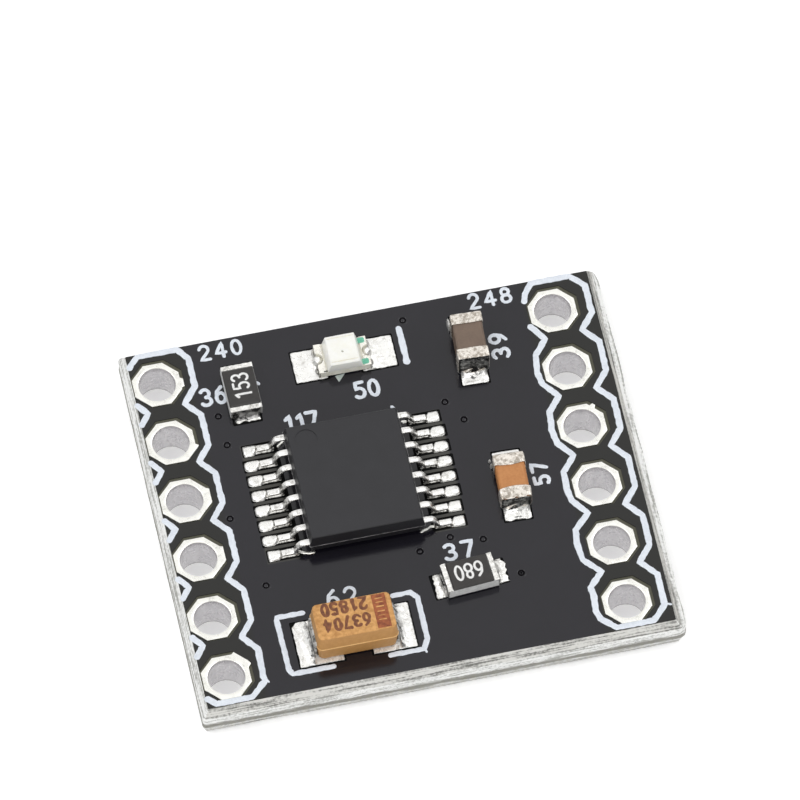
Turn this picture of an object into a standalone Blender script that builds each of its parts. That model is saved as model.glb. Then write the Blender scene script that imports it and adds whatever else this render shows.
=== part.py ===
"""DC motor driver module: a small black circuit board with two columns of plated holes,
a sixteen-lead driver chip, and the resistors, capacitors and lamp that serve it.

Metres, +Z up. The origin is the centre of the board's underside. +X runs from the left
column of holes to the right one, and +Y runs along the columns, away from the side that
the tantalum capacitor sits on."""

import math

import bmesh
import bpy
from mathutils import Matrix

MM = 0.001

# Gap left between pieces that touch, or are soldered together, on the real module
FIT = 0.01 * MM

# Two columns of plated holes for pin headers
HOLE_PITCH = 2.54 * MM
HOLES_PER_COLUMN = 6
COLUMN_SPACING = 15.24 * MM
HOLE_DIAMETER = 1.4 * MM
PLATING = 0.05 * MM
HOLE_RING = 0.2 * MM
HOLE_SIDES = 16
LAND_SIDES = 8
SAME_DIRECTION = math.radians(1.0)

# Traces that leave a hole's land: the directions in degrees at which one side starts
# from the land and meets the mask window, then where the other side does the reverse
TRACES = {
    "plated_hole_left_1": (-19.0, -15.0, 4.0, 8.0),
    "plated_hole_left_2": (-67.5, -60.0, -17.0, -9.0),
    "plated_hole_left_3": (-22.5, -15.0, 18.0, 25.0),
    "plated_hole_left_4": (-22.5, -14.0, 19.0, 25.0),
    "plated_hole_left_6": (9.0, 20.0, 64.0, 67.5),
    "plated_hole_right_3": (46.0, 49.0, 56.0, 67.5),
}

# Board: each edge was scored on both faces and snapped off along the web between
EDGE_LEFT = 1.2 * MM
EDGE_RIGHT = 1.9 * MM
EDGE_BACK = 1.7 * MM
EDGE_FRONT = 1.4 * MM
BOARD_THICKNESS = 1.6 * MM
BOARD_CORNER = 0.15 * MM
SCORE_DEPTH = 0.5 * MM
SCORE_RUN = 0.27 * MM

# Solder mask, its windows round the lands, and the tinned copper in them
MASK = 0.035 * MM
WINDOW_MARGIN = 0.08 * MM
WINDOW_SHIFT_X = 0.04 * MM
WINDOW_SHIFT_Y = 0.05 * MM
LAND_HEIGHT = 0.06 * MM
LAND_ROUND = 0.04 * MM

# Solder slopes: steps down a slope, and how strongly the slope hollows. Crowns: the
# shares of the way across at which a crown has its points
FILLET_STEPS = 4
FILLET_HOLLOW = 2.4
CROWN_POINTS = (0.2, 0.5, 0.8)

# Driver chip: a moulded case with a row of gull-wing leads down each side
CHIP_X = -1.3 * MM
CHIP_Y = 0.55 * MM
LEADS_PER_SIDE = 8
LEAD_PITCH = 0.65 * MM
LEAD_WIDTH = 0.25 * MM
LEAD_THICKNESS = 0.13 * MM
LEAD_REACH = 1.04 * MM
LEAD_SHOULDER = 0.36 * MM
LEAD_FOOT = 0.5 * MM
LEAD_BEND = 0.12 * MM
LEAD_ROOT = 0.15 * MM
LEAD_EXIT_HEIGHT = 0.62 * MM
CHIP_CASE_WIDTH = 4.4 * MM
CHIP_CASE_END = 0.225 * MM
CHIP_CASE_STANDOFF = 0.16 * MM
CHIP_CASE_HEIGHT = 0.95 * MM
CHIP_CASE_DRAFT = 0.09 * MM
CHIP_CASE_EDGE = 0.03 * MM
DIMPLE_DIAMETER = 0.85 * MM
DIMPLE_DEPTH = 0.02 * MM
DIMPLE_INSET = 0.75 * MM
CHIP_LAND_WIDTH = 0.44 * MM
CHIP_LAND_TOE = 0.6 * MM
CHIP_LAND_HEEL = 0.16 * MM
CHIP_LAND_NECK = 0.34 * MM
CHIP_LAND_WAIST = 0.29 * MM
CHIP_LAND_END = 0.12 * MM
CHIP_SQUARE_TOE = 0.52 * MM
CHIP_SQUARE_LANDS = (1, 8, 9, 10, 16)
CHIP_TOE_RISE = 0.07 * MM
CHIP_HEEL_RISE = 0.16 * MM
CHIP_FOOT_RISE = 0.02 * MM

# Ceramic capacitors: the tall brown one behind, the low orange one beside the chip
CERAMIC_LENGTH = 2.0 * MM
CERAMIC_WIDTH = 1.22 * MM
CERAMIC_WALL = 0.035 * MM
CERAMIC_BAND = 0.46 * MM
CERAMIC_RIM_CUTS = 5
TALL_CERAMIC_HEIGHT = 1.12 * MM
TALL_CERAMIC_EDGE = 0.07 * MM
TALL_CERAMIC_BULGE = 0.02 * MM
TALL_CERAMIC_X = 4.19 * MM
TALL_CERAMIC_FROM_BACK = 2.68 * MM
TALL_CERAMIC_TURN = 87.5
LOW_CERAMIC_HEIGHT = 0.8 * MM
LOW_CERAMIC_EDGE = 0.11 * MM
LOW_CERAMIC_BULGE = 0.09 * MM
LOW_CERAMIC_X = 4.5 * MM
LOW_CERAMIC_FROM_CHIP = 1.2 * MM
LOW_CERAMIC_TURN = 87.7

# Thick-film resistors: a ceramic base, a dark glaze on top and metal round the ends
RESISTOR_LENGTH = 2.0 * MM
RESISTOR_WIDTH = 1.22 * MM
RESISTOR_BASE = 0.42 * MM
RESISTOR_WALL = 0.035 * MM
RESISTOR_FOLD = 0.014 * MM
RESISTOR_BAND = 0.32 * MM
GLAZE_LENGTH = 1.58 * MM
GLAZE_HEIGHT = 0.07 * MM
GLAZE_EDGE = 0.04 * MM
GLAZE_MARGIN = 0.01 * MM
BACK_RESISTOR_X = -4.6 * MM
BACK_RESISTOR_FROM_BACK = 2.74 * MM
BACK_RESISTOR_TURN = 90.0
FRONT_RESISTOR_X = 2.1 * MM
FRONT_RESISTOR_FROM_FRONT = 3.56 * MM
FRONT_RESISTOR_TURN = 4.0

# Lands and solder of the four chips above, measured from the chip's ends
JOINT_WIDTH = 1.04 * MM
JOINT_INNER = 0.42 * MM
JOINT_LONG_TOE = 0.5 * MM
JOINT_MIDDLE_TOE = 0.41 * MM
JOINT_SHORT_TOE = 0.26 * MM
JOINT_FILM = 0.015 * MM
CERAMIC_CLIMB = 0.45 * MM
RESISTOR_CLIMB = 0.34 * MM

# Tantalum capacitor: a moulded case over two terminals folded under its ends
TANTALUM_X = -2.61 * MM
TANTALUM_FROM_FRONT = 2.14 * MM
TANTALUM_LENGTH = 3.26 * MM
TANTALUM_WIDTH = 1.64 * MM
TANTALUM_HEIGHT = 1.5 * MM
TANTALUM_PARTING = 0.8 * MM
TANTALUM_DRAFT = 0.06 * MM
TANTALUM_CORNER = 0.2 * MM
TANTALUM_CORNER_STEPS = 5
TANTALUM_EDGE = 0.04 * MM
TANTALUM_STANDOFF = 0.03 * MM
TERMINAL_WIDTH = 1.2 * MM
TERMINAL_THICKNESS = 0.08 * MM
TERMINAL_FOOT = 0.8 * MM
TERMINAL_ROOT = 0.15 * MM
TERMINAL_BEND = 0.08 * MM
TANTALUM_LAND_WIDTH = 1.92 * MM
TANTALUM_LAND_TOE = 0.6 * MM
TANTALUM_LAND_INNER = 0.3 * MM
TANTALUM_LAND_CLIP = 0.2 * MM
TANTALUM_CLIMB = 0.35 * MM

# Lamp: a light-emitting chip under a moulded lens, on a base with plated end notches
LED_X = -0.58 * MM
LED_FROM_BACK = 2.09 * MM
LED_LENGTH = 2.0 * MM
LED_WIDTH = 1.25 * MM
LED_BASE_HEIGHT = 0.26 * MM
LED_TERMINAL_WALL = 0.03 * MM
LED_TERMINAL_BAND = 0.26 * MM
LED_NOTCH_DIAMETER = 0.5 * MM
LENS_LENGTH = 1.38 * MM
LENS_HEIGHT = 0.48 * MM
LENS_SLOPE = 0.12 * MM
LENS_EDGE = 0.03 * MM
DIE_SIZE = 0.28 * MM
DIE_HEIGHT = 0.12 * MM
DIE_CLEARANCE = 0.06 * MM
LED_LAND_WIDTH = 1.36 * MM
LED_LAND_LEFT_TOE = 0.89 * MM
LED_LAND_RIGHT_TOE = 1.0 * MM
LED_LAND_INNER = 0.36 * MM
LED_CLIMB = 0.16 * MM

# Sizes worked out from the ones above
COLUMN_LENGTH = (HOLES_PER_COLUMN - 1) * HOLE_PITCH
BOARD_LENGTH = COLUMN_SPACING + EDGE_LEFT + EDGE_RIGHT
BOARD_WIDTH = COLUMN_LENGTH + EDGE_BACK + EDGE_FRONT
GRID_X = (EDGE_LEFT - EDGE_RIGHT) / 2
GRID_Y = (EDGE_FRONT - EDGE_BACK) / 2
BACK_EDGE = BOARD_WIDTH / 2
FRONT_EDGE = -BOARD_WIDTH / 2
HOLE_LAND = HOLE_DIAMETER + 2 * HOLE_RING
LAMINATE_TOP = BOARD_THICKNESS - MASK
SEAT = LAMINATE_TOP + FIT
LEAD_ROW = (LEADS_PER_SIDE - 1) * LEAD_PITCH
CUT_PAST = 0.5 * MM


def finish(name, colour, roughness, metallic=0.0):
    """A plain Principled material, made once for each name."""
    material = bpy.data.materials.get(name)
    if material is None:
        material = bpy.data.materials.new(name)
        material.use_nodes = True
        shader = material.node_tree.nodes["Principled BSDF"]
        shader.inputs["Base Color"].default_value = (*colour, 1.0)
        shader.inputs["Roughness"].default_value = roughness
        shader.inputs["Metallic"].default_value = metallic
        material.diffuse_color = (*colour, 1.0)
    return material


def solder_mask():
    return finish("black_solder_mask", (0.047, 0.045, 0.050), 0.42)


def tinned():
    return finish("tinned_copper", (0.90, 0.90, 0.87), 0.32, 0.9)


def lead_plating():
    return finish("plated_leads", (0.86, 0.85, 0.82), 0.28, 0.95)


def chip_epoxy():
    return finish("driver_chip_epoxy", (0.040, 0.039, 0.042), 0.55)


def brown_ceramic():
    return finish("brown_ceramic", (0.235, 0.165, 0.120), 0.5)


def orange_ceramic():
    return finish("orange_ceramic", (0.578, 0.225, 0.085), 0.48)


def end_metal():
    return finish("ceramic_end_metal", (0.82, 0.79, 0.74), 0.42, 0.8)


def alumina():
    return finish("resistor_alumina", (0.62, 0.62, 0.61), 0.6)


def resistor_glaze():
    return finish("resistor_glaze", (0.040, 0.036, 0.034), 0.35)


def tantalum_epoxy():
    return finish("tantalum_epoxy", (0.610, 0.305, 0.075), 0.5)


def lamp_laminate():
    return finish("lamp_base_laminate", (0.84, 0.82, 0.68), 0.5)


def lamp_resin():
    return finish("lamp_lens_resin", (0.90, 0.89, 0.76), 0.3)


def lamp_plating():
    return finish("lamp_end_plating", (0.86, 0.82, 0.68), 0.35, 0.7)


def lamp_die():
    return finish("lamp_die", (0.10, 0.10, 0.09), 0.4)


def edges_of(loop):
    """The edges between neighbours of a closed loop of vertices."""
    found = []
    for first, second in zip(loop, loop[1:] + loop[:1]):
        found.extend(edge for edge in first.link_edges if second in edge.verts)
    return found


def closed_loop(bm, points):
    """New vertices at the points, joined in a ring by edges."""
    loop = [bm.verts.new(point) for point in points]
    for first, second in zip(loop, loop[1:] + loop[:1]):
        bm.edges.new((first, second))
    return loop


def loft(bm, sections, ring=False):
    """A skin grown from section to section, closed by end faces or into a ring.

    All sections have the same number of points, in the same order."""
    start = loop = closed_loop(bm, sections[0])
    if not ring:
        bm.faces.new(start)
    for section in [*sections[1:], *(sections[:1] if ring else ())]:
        grown = bmesh.ops.extrude_edge_only(bm, edges=edges_of(loop))["geom"]
        fresh = {item for item in grown if isinstance(item, bmesh.types.BMVert)}
        loop = [next(edge.other_vert(vert) for edge in vert.link_edges
                     if edge.other_vert(vert) in fresh) for vert in loop]
        for vert, point in zip(loop, section):
            vert.co = point
    if ring:
        bmesh.ops.remove_doubles(bm, verts=start + loop, dist=FIT / 100)
    else:
        bm.faces.new(loop)


def prism_across(bm, outline, width):
    """An outline in the XZ plane, extruded to a width that is centred on Y."""
    face = bm.faces.new([bm.verts.new((x, -width / 2, z)) for x, z in outline])
    grown = bmesh.ops.extrude_face_region(bm, geom=[face])["geom"]
    moved = [item for item in grown if isinstance(item, bmesh.types.BMVert)]
    bmesh.ops.translate(bm, verts=moved, vec=(0, width, 0))


def block(bm, size, centre=(0, 0, 0), turn=0.0):
    """A box of the given size, turned about its own upright line."""
    place = Matrix.Translation(centre) @ Matrix.Rotation(turn, 4, "Z")
    matrix = place @ Matrix.Diagonal((*size, 1))
    return bmesh.ops.create_cube(bm, size=1, matrix=matrix)["verts"]


def post(bm, sides, across, bottom, top, place=Matrix.Identity(4)):
    """An upright prism of eight or more sides, which lines up with the rings of a hole."""
    radius = across / 2 / math.cos(math.pi / sides)
    lift = Matrix.Translation((0, 0, (bottom + top) / 2))
    turn = Matrix.Rotation(math.pi / sides if sides == LAND_SIDES else 0, 4, "Z")
    bmesh.ops.create_cone(bm, cap_ends=True, segments=sides, radius1=radius,
                          radius2=radius, depth=top - bottom, matrix=place @ lift @ turn)


def rounded_rectangle(length, width, radius, z, steps=3):
    """Points round a rectangle whose corners are arcs."""
    points = []
    for corner, (side_x, side_y) in enumerate(((1, 1), (-1, 1), (-1, -1), (1, -1))):
        centre_x = side_x * (length / 2 - radius)
        centre_y = side_y * (width / 2 - radius)
        for step in range(steps + 1):
            angle = math.pi / 2 * (corner + step / steps)
            x = centre_x + radius * math.cos(angle)
            y = centre_y + radius * math.sin(angle)
            points.append((x, y, z))
    return points


def strip_outline(path, thickness, bend, steps=4):
    """Outline of a bent strip of even thickness, whose middle line follows the path."""
    middle = []
    for before, corner, after in zip(path, path[1:], path[2:]):
        back = (Vector2(before) - Vector2(corner)).unit()
        ahead = (Vector2(after) - Vector2(corner)).unit()
        half = math.acos(max(-1.0, min(1.0, back.dot(ahead)))) / 2
        cut = bend / math.tan(half)
        start = Vector2(corner) + back * cut
        heart = Vector2(corner) + (back + ahead).unit() * (bend / math.sin(half))
        sweep = math.pi - 2 * half
        side = 1 if back.cross(ahead) > 0 else -1
        spoke = start - heart
        for step in range(steps + 1):
            middle.append(heart + spoke.turned(-side * sweep * step / steps))
    middle = [Vector2(path[0]), *middle, Vector2(path[-1])]
    upper = []
    lower = []
    for index, point in enumerate(middle):
        before = middle[max(index - 1, 0)]
        after = middle[min(index + 1, len(middle) - 1)]
        normal = (after - before).unit().turned(math.pi / 2) * (thickness / 2)
        upper.append(point + normal)
        lower.append(point - normal)
    return [(point.x, point.y) for point in upper + lower[::-1]]


class Vector2:
    """A point or direction in the plane of a strip's outline."""

    def __init__(self, x, y=None):
        self.x, self.y = (x, y) if y is not None else x

    def __add__(self, other):
        return Vector2(self.x + other.x, self.y + other.y)

    def __sub__(self, other):
        return Vector2(self.x - other.x, self.y - other.y)

    def __mul__(self, factor):
        return Vector2(self.x * factor, self.y * factor)

    def dot(self, other):
        return self.x * other.x + self.y * other.y

    def cross(self, other):
        return self.x * other.y - self.y * other.x

    def unit(self):
        return self * (1 / math.hypot(self.x, self.y))

    def turned(self, angle):
        cosine, sine = math.cos(angle), math.sin(angle)
        return Vector2(self.x * cosine - self.y * sine, self.x * sine + self.y * cosine)


def mesh_from(bm, name):
    """A finished mesh, with its faces turned outwards and its round parts smooth."""
    bmesh.ops.recalc_face_normals(bm, faces=bm.faces[:])
    if bm.calc_volume(signed=True) < 0:
        bmesh.ops.reverse_faces(bm, faces=bm.faces[:])
    mesh = bpy.data.meshes.new(name)
    bm.to_mesh(mesh)
    bm.free()
    mesh.shade_smooth()
    mesh.set_sharp_from_angle(angle=math.radians(30))
    return mesh


def add_object(name, mesh, material, parent=None, turn=0.0, location=(0, 0, 0)):
    """An object of its own in the scene, which may share its mesh with another."""
    item = bpy.data.objects.new(name, mesh)
    bpy.context.scene.collection.objects.link(item)
    if not mesh.materials:
        mesh.materials.append(material)
    item.parent = parent
    item.location = location
    item.rotation_euler = (0, 0, turn)
    return item


def add_cutter(name, bm):
    """A guide that only takes material away from other objects."""
    cutter = bpy.data.objects.new(name, mesh_from(bm, name))
    bpy.context.scene.collection.objects.link(cutter)
    cutter.hide_render = True
    cutter.display_type = "WIRE"
    return cutter


def add_boolean(item, cutter, operation="DIFFERENCE"):
    modifier = item.modifiers.new(cutter.name, "BOOLEAN")
    modifier.operation = operation
    modifier.object = cutter
    modifier.solver = "EXACT"


def fused(name, body, addition):
    """One mesh from two bodies that reach into each other."""
    carrier = bpy.data.objects.new(name, mesh_from(body, name))
    bpy.context.scene.collection.objects.link(carrier)
    cutter = add_cutter(name + "_addition", addition)
    add_boolean(carrier, cutter, "UNION")
    depsgraph = bpy.context.evaluated_depsgraph_get()
    mesh = bpy.data.meshes.new_from_object(carrier.evaluated_get(depsgraph))
    mesh.name = name
    for temporary in (carrier, cutter):
        old = temporary.data
        bpy.data.objects.remove(temporary)
        bpy.data.meshes.remove(old)
    mesh.shade_smooth()
    mesh.set_sharp_from_angle(angle=math.radians(30))
    return mesh


def add_place(name, x, y, turn=0.0):
    """An empty on the laminate, which carries the pieces of one component."""
    place = bpy.data.objects.new(name, None)
    bpy.context.scene.collection.objects.link(place)
    place.location = (x, y, SEAT)
    place.rotation_euler = (0, 0, math.radians(turn))
    place.empty_display_size = MM
    return place


def hole_places():
    """Name and centre of each plated hole, counted from the back of its column."""
    for side, column in (("left", -1), ("right", 1)):
        for row in range(HOLES_PER_COLUMN):
            x = GRID_X + column * COLUMN_SPACING / 2
            y = GRID_Y + COLUMN_LENGTH / 2 - row * HOLE_PITCH
            yield f"plated_hole_{side}_{row + 1}", x, y


def chip_places():
    """Centre, turn, length, land width, the two lands' toes and how far they reach in.

    The first toe is at the end that points along the component's own +X."""
    return {
        "tall_ceramic": (GRID_X + TALL_CERAMIC_X, BACK_EDGE - TALL_CERAMIC_FROM_BACK,
                         TALL_CERAMIC_TURN, CERAMIC_LENGTH, JOINT_WIDTH,
                         (JOINT_LONG_TOE, JOINT_LONG_TOE), JOINT_INNER),
        "low_ceramic": (GRID_X + LOW_CERAMIC_X, GRID_Y + CHIP_Y - LOW_CERAMIC_FROM_CHIP,
                        LOW_CERAMIC_TURN, CERAMIC_LENGTH, JOINT_WIDTH,
                        (JOINT_LONG_TOE, JOINT_LONG_TOE), JOINT_INNER),
        "back_resistor": (GRID_X + BACK_RESISTOR_X, BACK_EDGE - BACK_RESISTOR_FROM_BACK,
                          BACK_RESISTOR_TURN, RESISTOR_LENGTH, JOINT_WIDTH,
                          (JOINT_SHORT_TOE, JOINT_SHORT_TOE), JOINT_INNER),
        "front_resistor": (GRID_X + FRONT_RESISTOR_X, FRONT_EDGE + FRONT_RESISTOR_FROM_FRONT,
                           FRONT_RESISTOR_TURN, RESISTOR_LENGTH, JOINT_WIDTH,
                           (JOINT_LONG_TOE, JOINT_MIDDLE_TOE), JOINT_INNER),
        "tantalum": (GRID_X + TANTALUM_X, FRONT_EDGE + TANTALUM_FROM_FRONT, 0.0,
                     TANTALUM_LENGTH, TANTALUM_LAND_WIDTH,
                     (TANTALUM_LAND_TOE, TANTALUM_LAND_TOE),
                     TERMINAL_FOOT + TANTALUM_LAND_INNER),
        "led": (GRID_X + LED_X, BACK_EDGE - LED_FROM_BACK, 0.0, LED_LENGTH,
                LED_LAND_WIDTH, (LED_LAND_RIGHT_TOE, LED_LAND_LEFT_TOE), LED_LAND_INNER),
    }


def chip_land_span():
    """Where a lead's land starts and ends, measured out from the chip's middle."""
    foot_end = CHIP_CASE_WIDTH / 2 + LEAD_REACH
    return (foot_end - LEAD_FOOT - CHIP_LAND_HEEL,
            foot_end + max(CHIP_LAND_TOE, CHIP_SQUARE_TOE))


def cut_windows():
    """Windows in the upper solder mask, one for each land or row of lands."""
    bm = bmesh.new()
    bottom = LAMINATE_TOP
    top = BOARD_THICKNESS + CUT_PAST
    middle = (bottom + top) / 2
    shift = Matrix.Translation((WINDOW_SHIFT_X, WINDOW_SHIFT_Y, 0))
    for _, x, y in hole_places():
        place = shift @ Matrix.Translation((x, y, 0))
        post(bm, LAND_SIDES, HOLE_LAND + 2 * WINDOW_MARGIN, bottom, top, place)
    for x, y, turn, length, width, toes, inner in chip_places().values():
        angle = math.radians(turn)
        for side, toe in zip((1, -1), toes):
            long = toe + inner + 2 * WINDOW_MARGIN
            reach = length / 2 + (toe - inner) / 2
            centre = (x + side * reach * math.cos(angle) + WINDOW_SHIFT_X,
                      y + side * reach * math.sin(angle) + WINDOW_SHIFT_Y, middle)
            block(bm, (long, width + 2 * WINDOW_MARGIN, top - bottom), centre, angle)
    start, end = chip_land_span()
    row = LEAD_ROW + CHIP_LAND_WIDTH + 2 * WINDOW_MARGIN
    for side in (-1, 1):
        centre = (GRID_X + CHIP_X + side * (start + end) / 2 + WINDOW_SHIFT_X,
                  GRID_Y + CHIP_Y + WINDOW_SHIFT_Y, middle)
        block(bm, (end - start + 2 * WINDOW_MARGIN, row, top - bottom), centre)
    return add_cutter("cut_upper_windows", bm)


def cut_lower_windows():
    """Windows in the lower solder mask, one for each plated hole."""
    bm = bmesh.new()
    for _, x, y in hole_places():
        place = Matrix.Translation((x + WINDOW_SHIFT_X, y + WINDOW_SHIFT_Y, 0))
        post(bm, LAND_SIDES, HOLE_LAND + 2 * WINDOW_MARGIN, -CUT_PAST, MASK + FIT, place)
    return add_cutter("cut_lower_windows", bm)


def cut_holes():
    """Drilled holes, larger than the plated bore by the plating and the fit."""
    bm = bmesh.new()
    bore = HOLE_DIAMETER + 2 * PLATING + 2 * FIT
    for _, x, y in hole_places():
        place = Matrix.Translation((x, y, 0))
        post(bm, HOLE_SIDES, bore, -CUT_PAST, BOARD_THICKNESS + CUT_PAST, place)
    return add_cutter("cut_drilled_holes", bm)


def make_board():
    """The laminate with its mask: scored and snapped edges, drilled holes, mask windows."""
    bm = bmesh.new()
    narrow = 2 * SCORE_RUN
    sections = []
    for z, inset in ((0, narrow), (SCORE_DEPTH, 0),
                     (BOARD_THICKNESS - SCORE_DEPTH, 0), (BOARD_THICKNESS, narrow)):
        sections.append(rounded_rectangle(BOARD_LENGTH - inset, BOARD_WIDTH - inset,
                                          BOARD_CORNER, z))
    loft(bm, sections)
    board = add_object("circuit_board", mesh_from(bm, "circuit_board"), solder_mask())
    board.data.shade_flat()
    for cutter in (cut_windows(), cut_lower_windows(), cut_holes()):
        add_boolean(board, cutter)


def ring_at(angles, reach, z):
    """A loop round a hole, with a point in each direction as far out as reach gives."""
    return [(reach(angle) * math.cos(angle), reach(angle) * math.sin(angle), z)
            for angle in angles]


def sided_reach(across, sides, flat=0.0):
    """How far out a regular outline lies in a direction, with a flat that faces one way."""
    step = 2 * math.pi / sides
    return lambda angle: across / 2 / math.cos((angle - flat + step / 2) % step - step / 2)


def window_reach(angle):
    """How far out the edge of a hole's mask window lies, from the hole's own centre."""
    ways = []
    for number in range(LAND_SIDES):
        flat = 2 * math.pi * number / LAND_SIDES
        slant = math.cos(angle - flat)
        if slant > 0:
            shift = WINDOW_SHIFT_X * math.cos(flat) + WINDOW_SHIFT_Y * math.sin(flat)
            ways.append((HOLE_LAND / 2 + WINDOW_MARGIN + shift - FIT) / slant)
    return min(ways)


def make_plated_hole(trace):
    """An eight-sided land on each face of the board, joined by a plated barrel."""
    land = sided_reach(HOLE_LAND, LAND_SIDES)
    corner_turn = math.pi / HOLE_SIDES
    bore = sided_reach(HOLE_DIAMETER, HOLE_SIDES, corner_turn)
    barrel = sided_reach(HOLE_DIAMETER + 2 * PLATING, HOLE_SIDES, corner_turn)
    corners = [2 * corner_turn * step for step in range(HOLE_SIDES)]
    sides = [math.radians(angle) for angle in trace]
    near = SAME_DIRECTION
    angles = sorted(side % (2 * math.pi) for side in sides)
    angles = sorted(angles + [corner for corner in corners
                              if all(abs(corner - angle) > near for angle in angles)])

    def upper(angle):
        if trace and (angle - sides[1] + near) % (2 * math.pi) < sides[2] - sides[1] + 2 * near:
            return window_reach(angle)
        return land(angle)

    top = SEAT + LAND_HEIGHT
    bm = bmesh.new()
    loft(bm, (ring_at(angles, bore, 0), ring_at(angles, bore, top),
              ring_at(angles, upper, top), ring_at(angles, upper, SEAT),
              ring_at(angles, barrel, SEAT), ring_at(angles, barrel, MASK),
              ring_at(angles, land, MASK), ring_at(angles, land, 0)), ring=True)
    return mesh_from(bm, "plated_hole")


def make_plated_holes():
    """Six plated holes in each column, some with a trace in view beside the land."""
    plain = make_plated_hole(())
    for name, x, y in hole_places():
        mesh = make_plated_hole(TRACES[name]) if name in TRACES else plain
        add_object(name, mesh, tinned(), location=(x, y, 0))


def solder_section(x, half_width, rim, mound, height):
    """One station of a soldered land: flat below, a low wall at each side, a crown over.

    A crown that is narrower than the land leaves a flat shelf on either side of it."""
    points = [(x, -half_width, 0), (x, -half_width, rim)]
    shelf = [(x, mound, rim)] if mound < half_width else []
    points += [(x, -mound, rim)] if shelf else []
    for share in CROWN_POINTS:
        angle = math.pi * share
        crown = rim + (height - rim) * math.sin(angle)
        points.append((x, -mound * math.cos(angle), crown))
    return points + shelf + [(x, half_width, rim), (x, half_width, 0)]


def solder_land(bm, stations):
    """A land under solder, lofted through stations of place, half width and height."""
    sections = []
    for x, half_width, height in stations:
        rim = min(height, LAND_HEIGHT) - LAND_ROUND / 4
        sections.append(solder_section(x, half_width, rim, half_width, height))
    loft(bm, sections)


def fillet_stations(face, toe, half_width, climb):
    """The hollow slope of solder from a chip's end face down to the end of its land."""
    stations = []
    for step in range(FILLET_STEPS + 1):
        share = step / FILLET_STEPS
        height = LAND_HEIGHT + (climb - LAND_HEIGHT) * (1 - share) ** FILLET_HOLLOW
        stations.append((face + (toe - LAND_ROUND) * share, half_width, height))
    stations.append((face + toe, half_width - LAND_ROUND, LAND_HEIGHT / 2))
    return stations


def chip_land_sections(toe_end, square):
    """Stations of a lead's land: narrow under the foot, with a pear-shaped mound before it."""
    toe = CHIP_CASE_WIDTH / 2 + LEAD_REACH
    heel = toe - LEAD_FOOT
    start, _ = chip_land_span()
    half = CHIP_LAND_WIDTH / 2
    neck = CHIP_LAND_NECK / 2
    waist = CHIP_LAND_WAIST / 2
    tip = CHIP_LAND_END / 2
    rim = LAND_HEIGHT - LAND_ROUND / 4
    foot = LEAD_WIDTH / 2
    broad = half - LAND_ROUND / 4
    under = LAND_HEIGHT + CHIP_FOOT_RISE
    mound = LAND_HEIGHT + CHIP_TOE_RISE
    end = toe + toe_end
    swell = toe + toe_end / 4
    widest = toe + toe_end / 2
    round_off = LAND_ROUND if square else half - tip
    last = half - round_off
    return (
        (start, neck - LAND_ROUND, rim / 2, foot - LAND_ROUND, LAND_HEIGHT),
        (start + LAND_ROUND, neck, rim, foot, LAND_HEIGHT),
        (heel, neck, rim, foot, LAND_HEIGHT + CHIP_HEEL_RISE),
        (heel + LEAD_BEND, neck, rim, foot, under),
        (toe - LEAD_THICKNESS / 2, waist, rim, foot, under),
        (toe, waist, rim, foot, mound),
        (swell, (waist + 2 * half) / 3, rim, (foot + 2 * broad) / 3, mound),
        (widest, half, rim, broad, mound),
        (end - round_off, half, rim, broad, mound),
        (end - round_off / 3, (2 * half + 3 * last) / 5, rim,
         (2 * broad + 3 * last) / 5 - LAND_ROUND / 4, mound - LAND_ROUND / 2),
        (end, last, rim / 2, last - LAND_ROUND / 4, rim))


def make_chip_lead(toe_end, square):
    """A gull-wing lead on its soldered land, reaching out along +X from the chip."""
    side = CHIP_CASE_WIDTH / 2
    toe = side + LEAD_REACH
    heel = toe - LEAD_FOOT
    foot_height = LAND_HEIGHT + LEAD_THICKNESS / 2
    lead = bmesh.new()
    path = ((side - LEAD_ROOT, LEAD_EXIT_HEIGHT), (side + LEAD_SHOULDER, LEAD_EXIT_HEIGHT),
            (heel, foot_height), (toe, foot_height))
    prism_across(lead, strip_outline(path, LEAD_THICKNESS, LEAD_BEND), LEAD_WIDTH)
    land = bmesh.new()
    loft(land, [solder_section(*section) for section in chip_land_sections(toe_end, square)])
    return fused("driver_chip_lead", lead, land)


def cut_chip_case():
    """Pockets that the leads enter, and the round mark beside the first lead."""
    bm = bmesh.new()
    pocket = (2 * (LEAD_ROOT + FIT), LEAD_WIDTH + 2 * FIT, LEAD_THICKNESS + 2 * FIT)
    for side in (-1, 1):
        for row in range(LEADS_PER_SIDE):
            y = LEAD_ROW / 2 - row * LEAD_PITCH
            block(bm, pocket, (side * CHIP_CASE_WIDTH / 2, y, LEAD_EXIT_HEIGHT))
    top = CHIP_CASE_STANDOFF + CHIP_CASE_HEIGHT
    corner = Matrix.Translation((DIMPLE_INSET - CHIP_CASE_WIDTH / 2,
                                 LEAD_ROW / 2 + CHIP_CASE_END - DIMPLE_INSET, 0))
    post(bm, HOLE_SIDES, DIMPLE_DIAMETER, top - DIMPLE_DEPTH, top + CUT_PAST, corner)
    return add_cutter("cut_driver_chip_case", bm)


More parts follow.
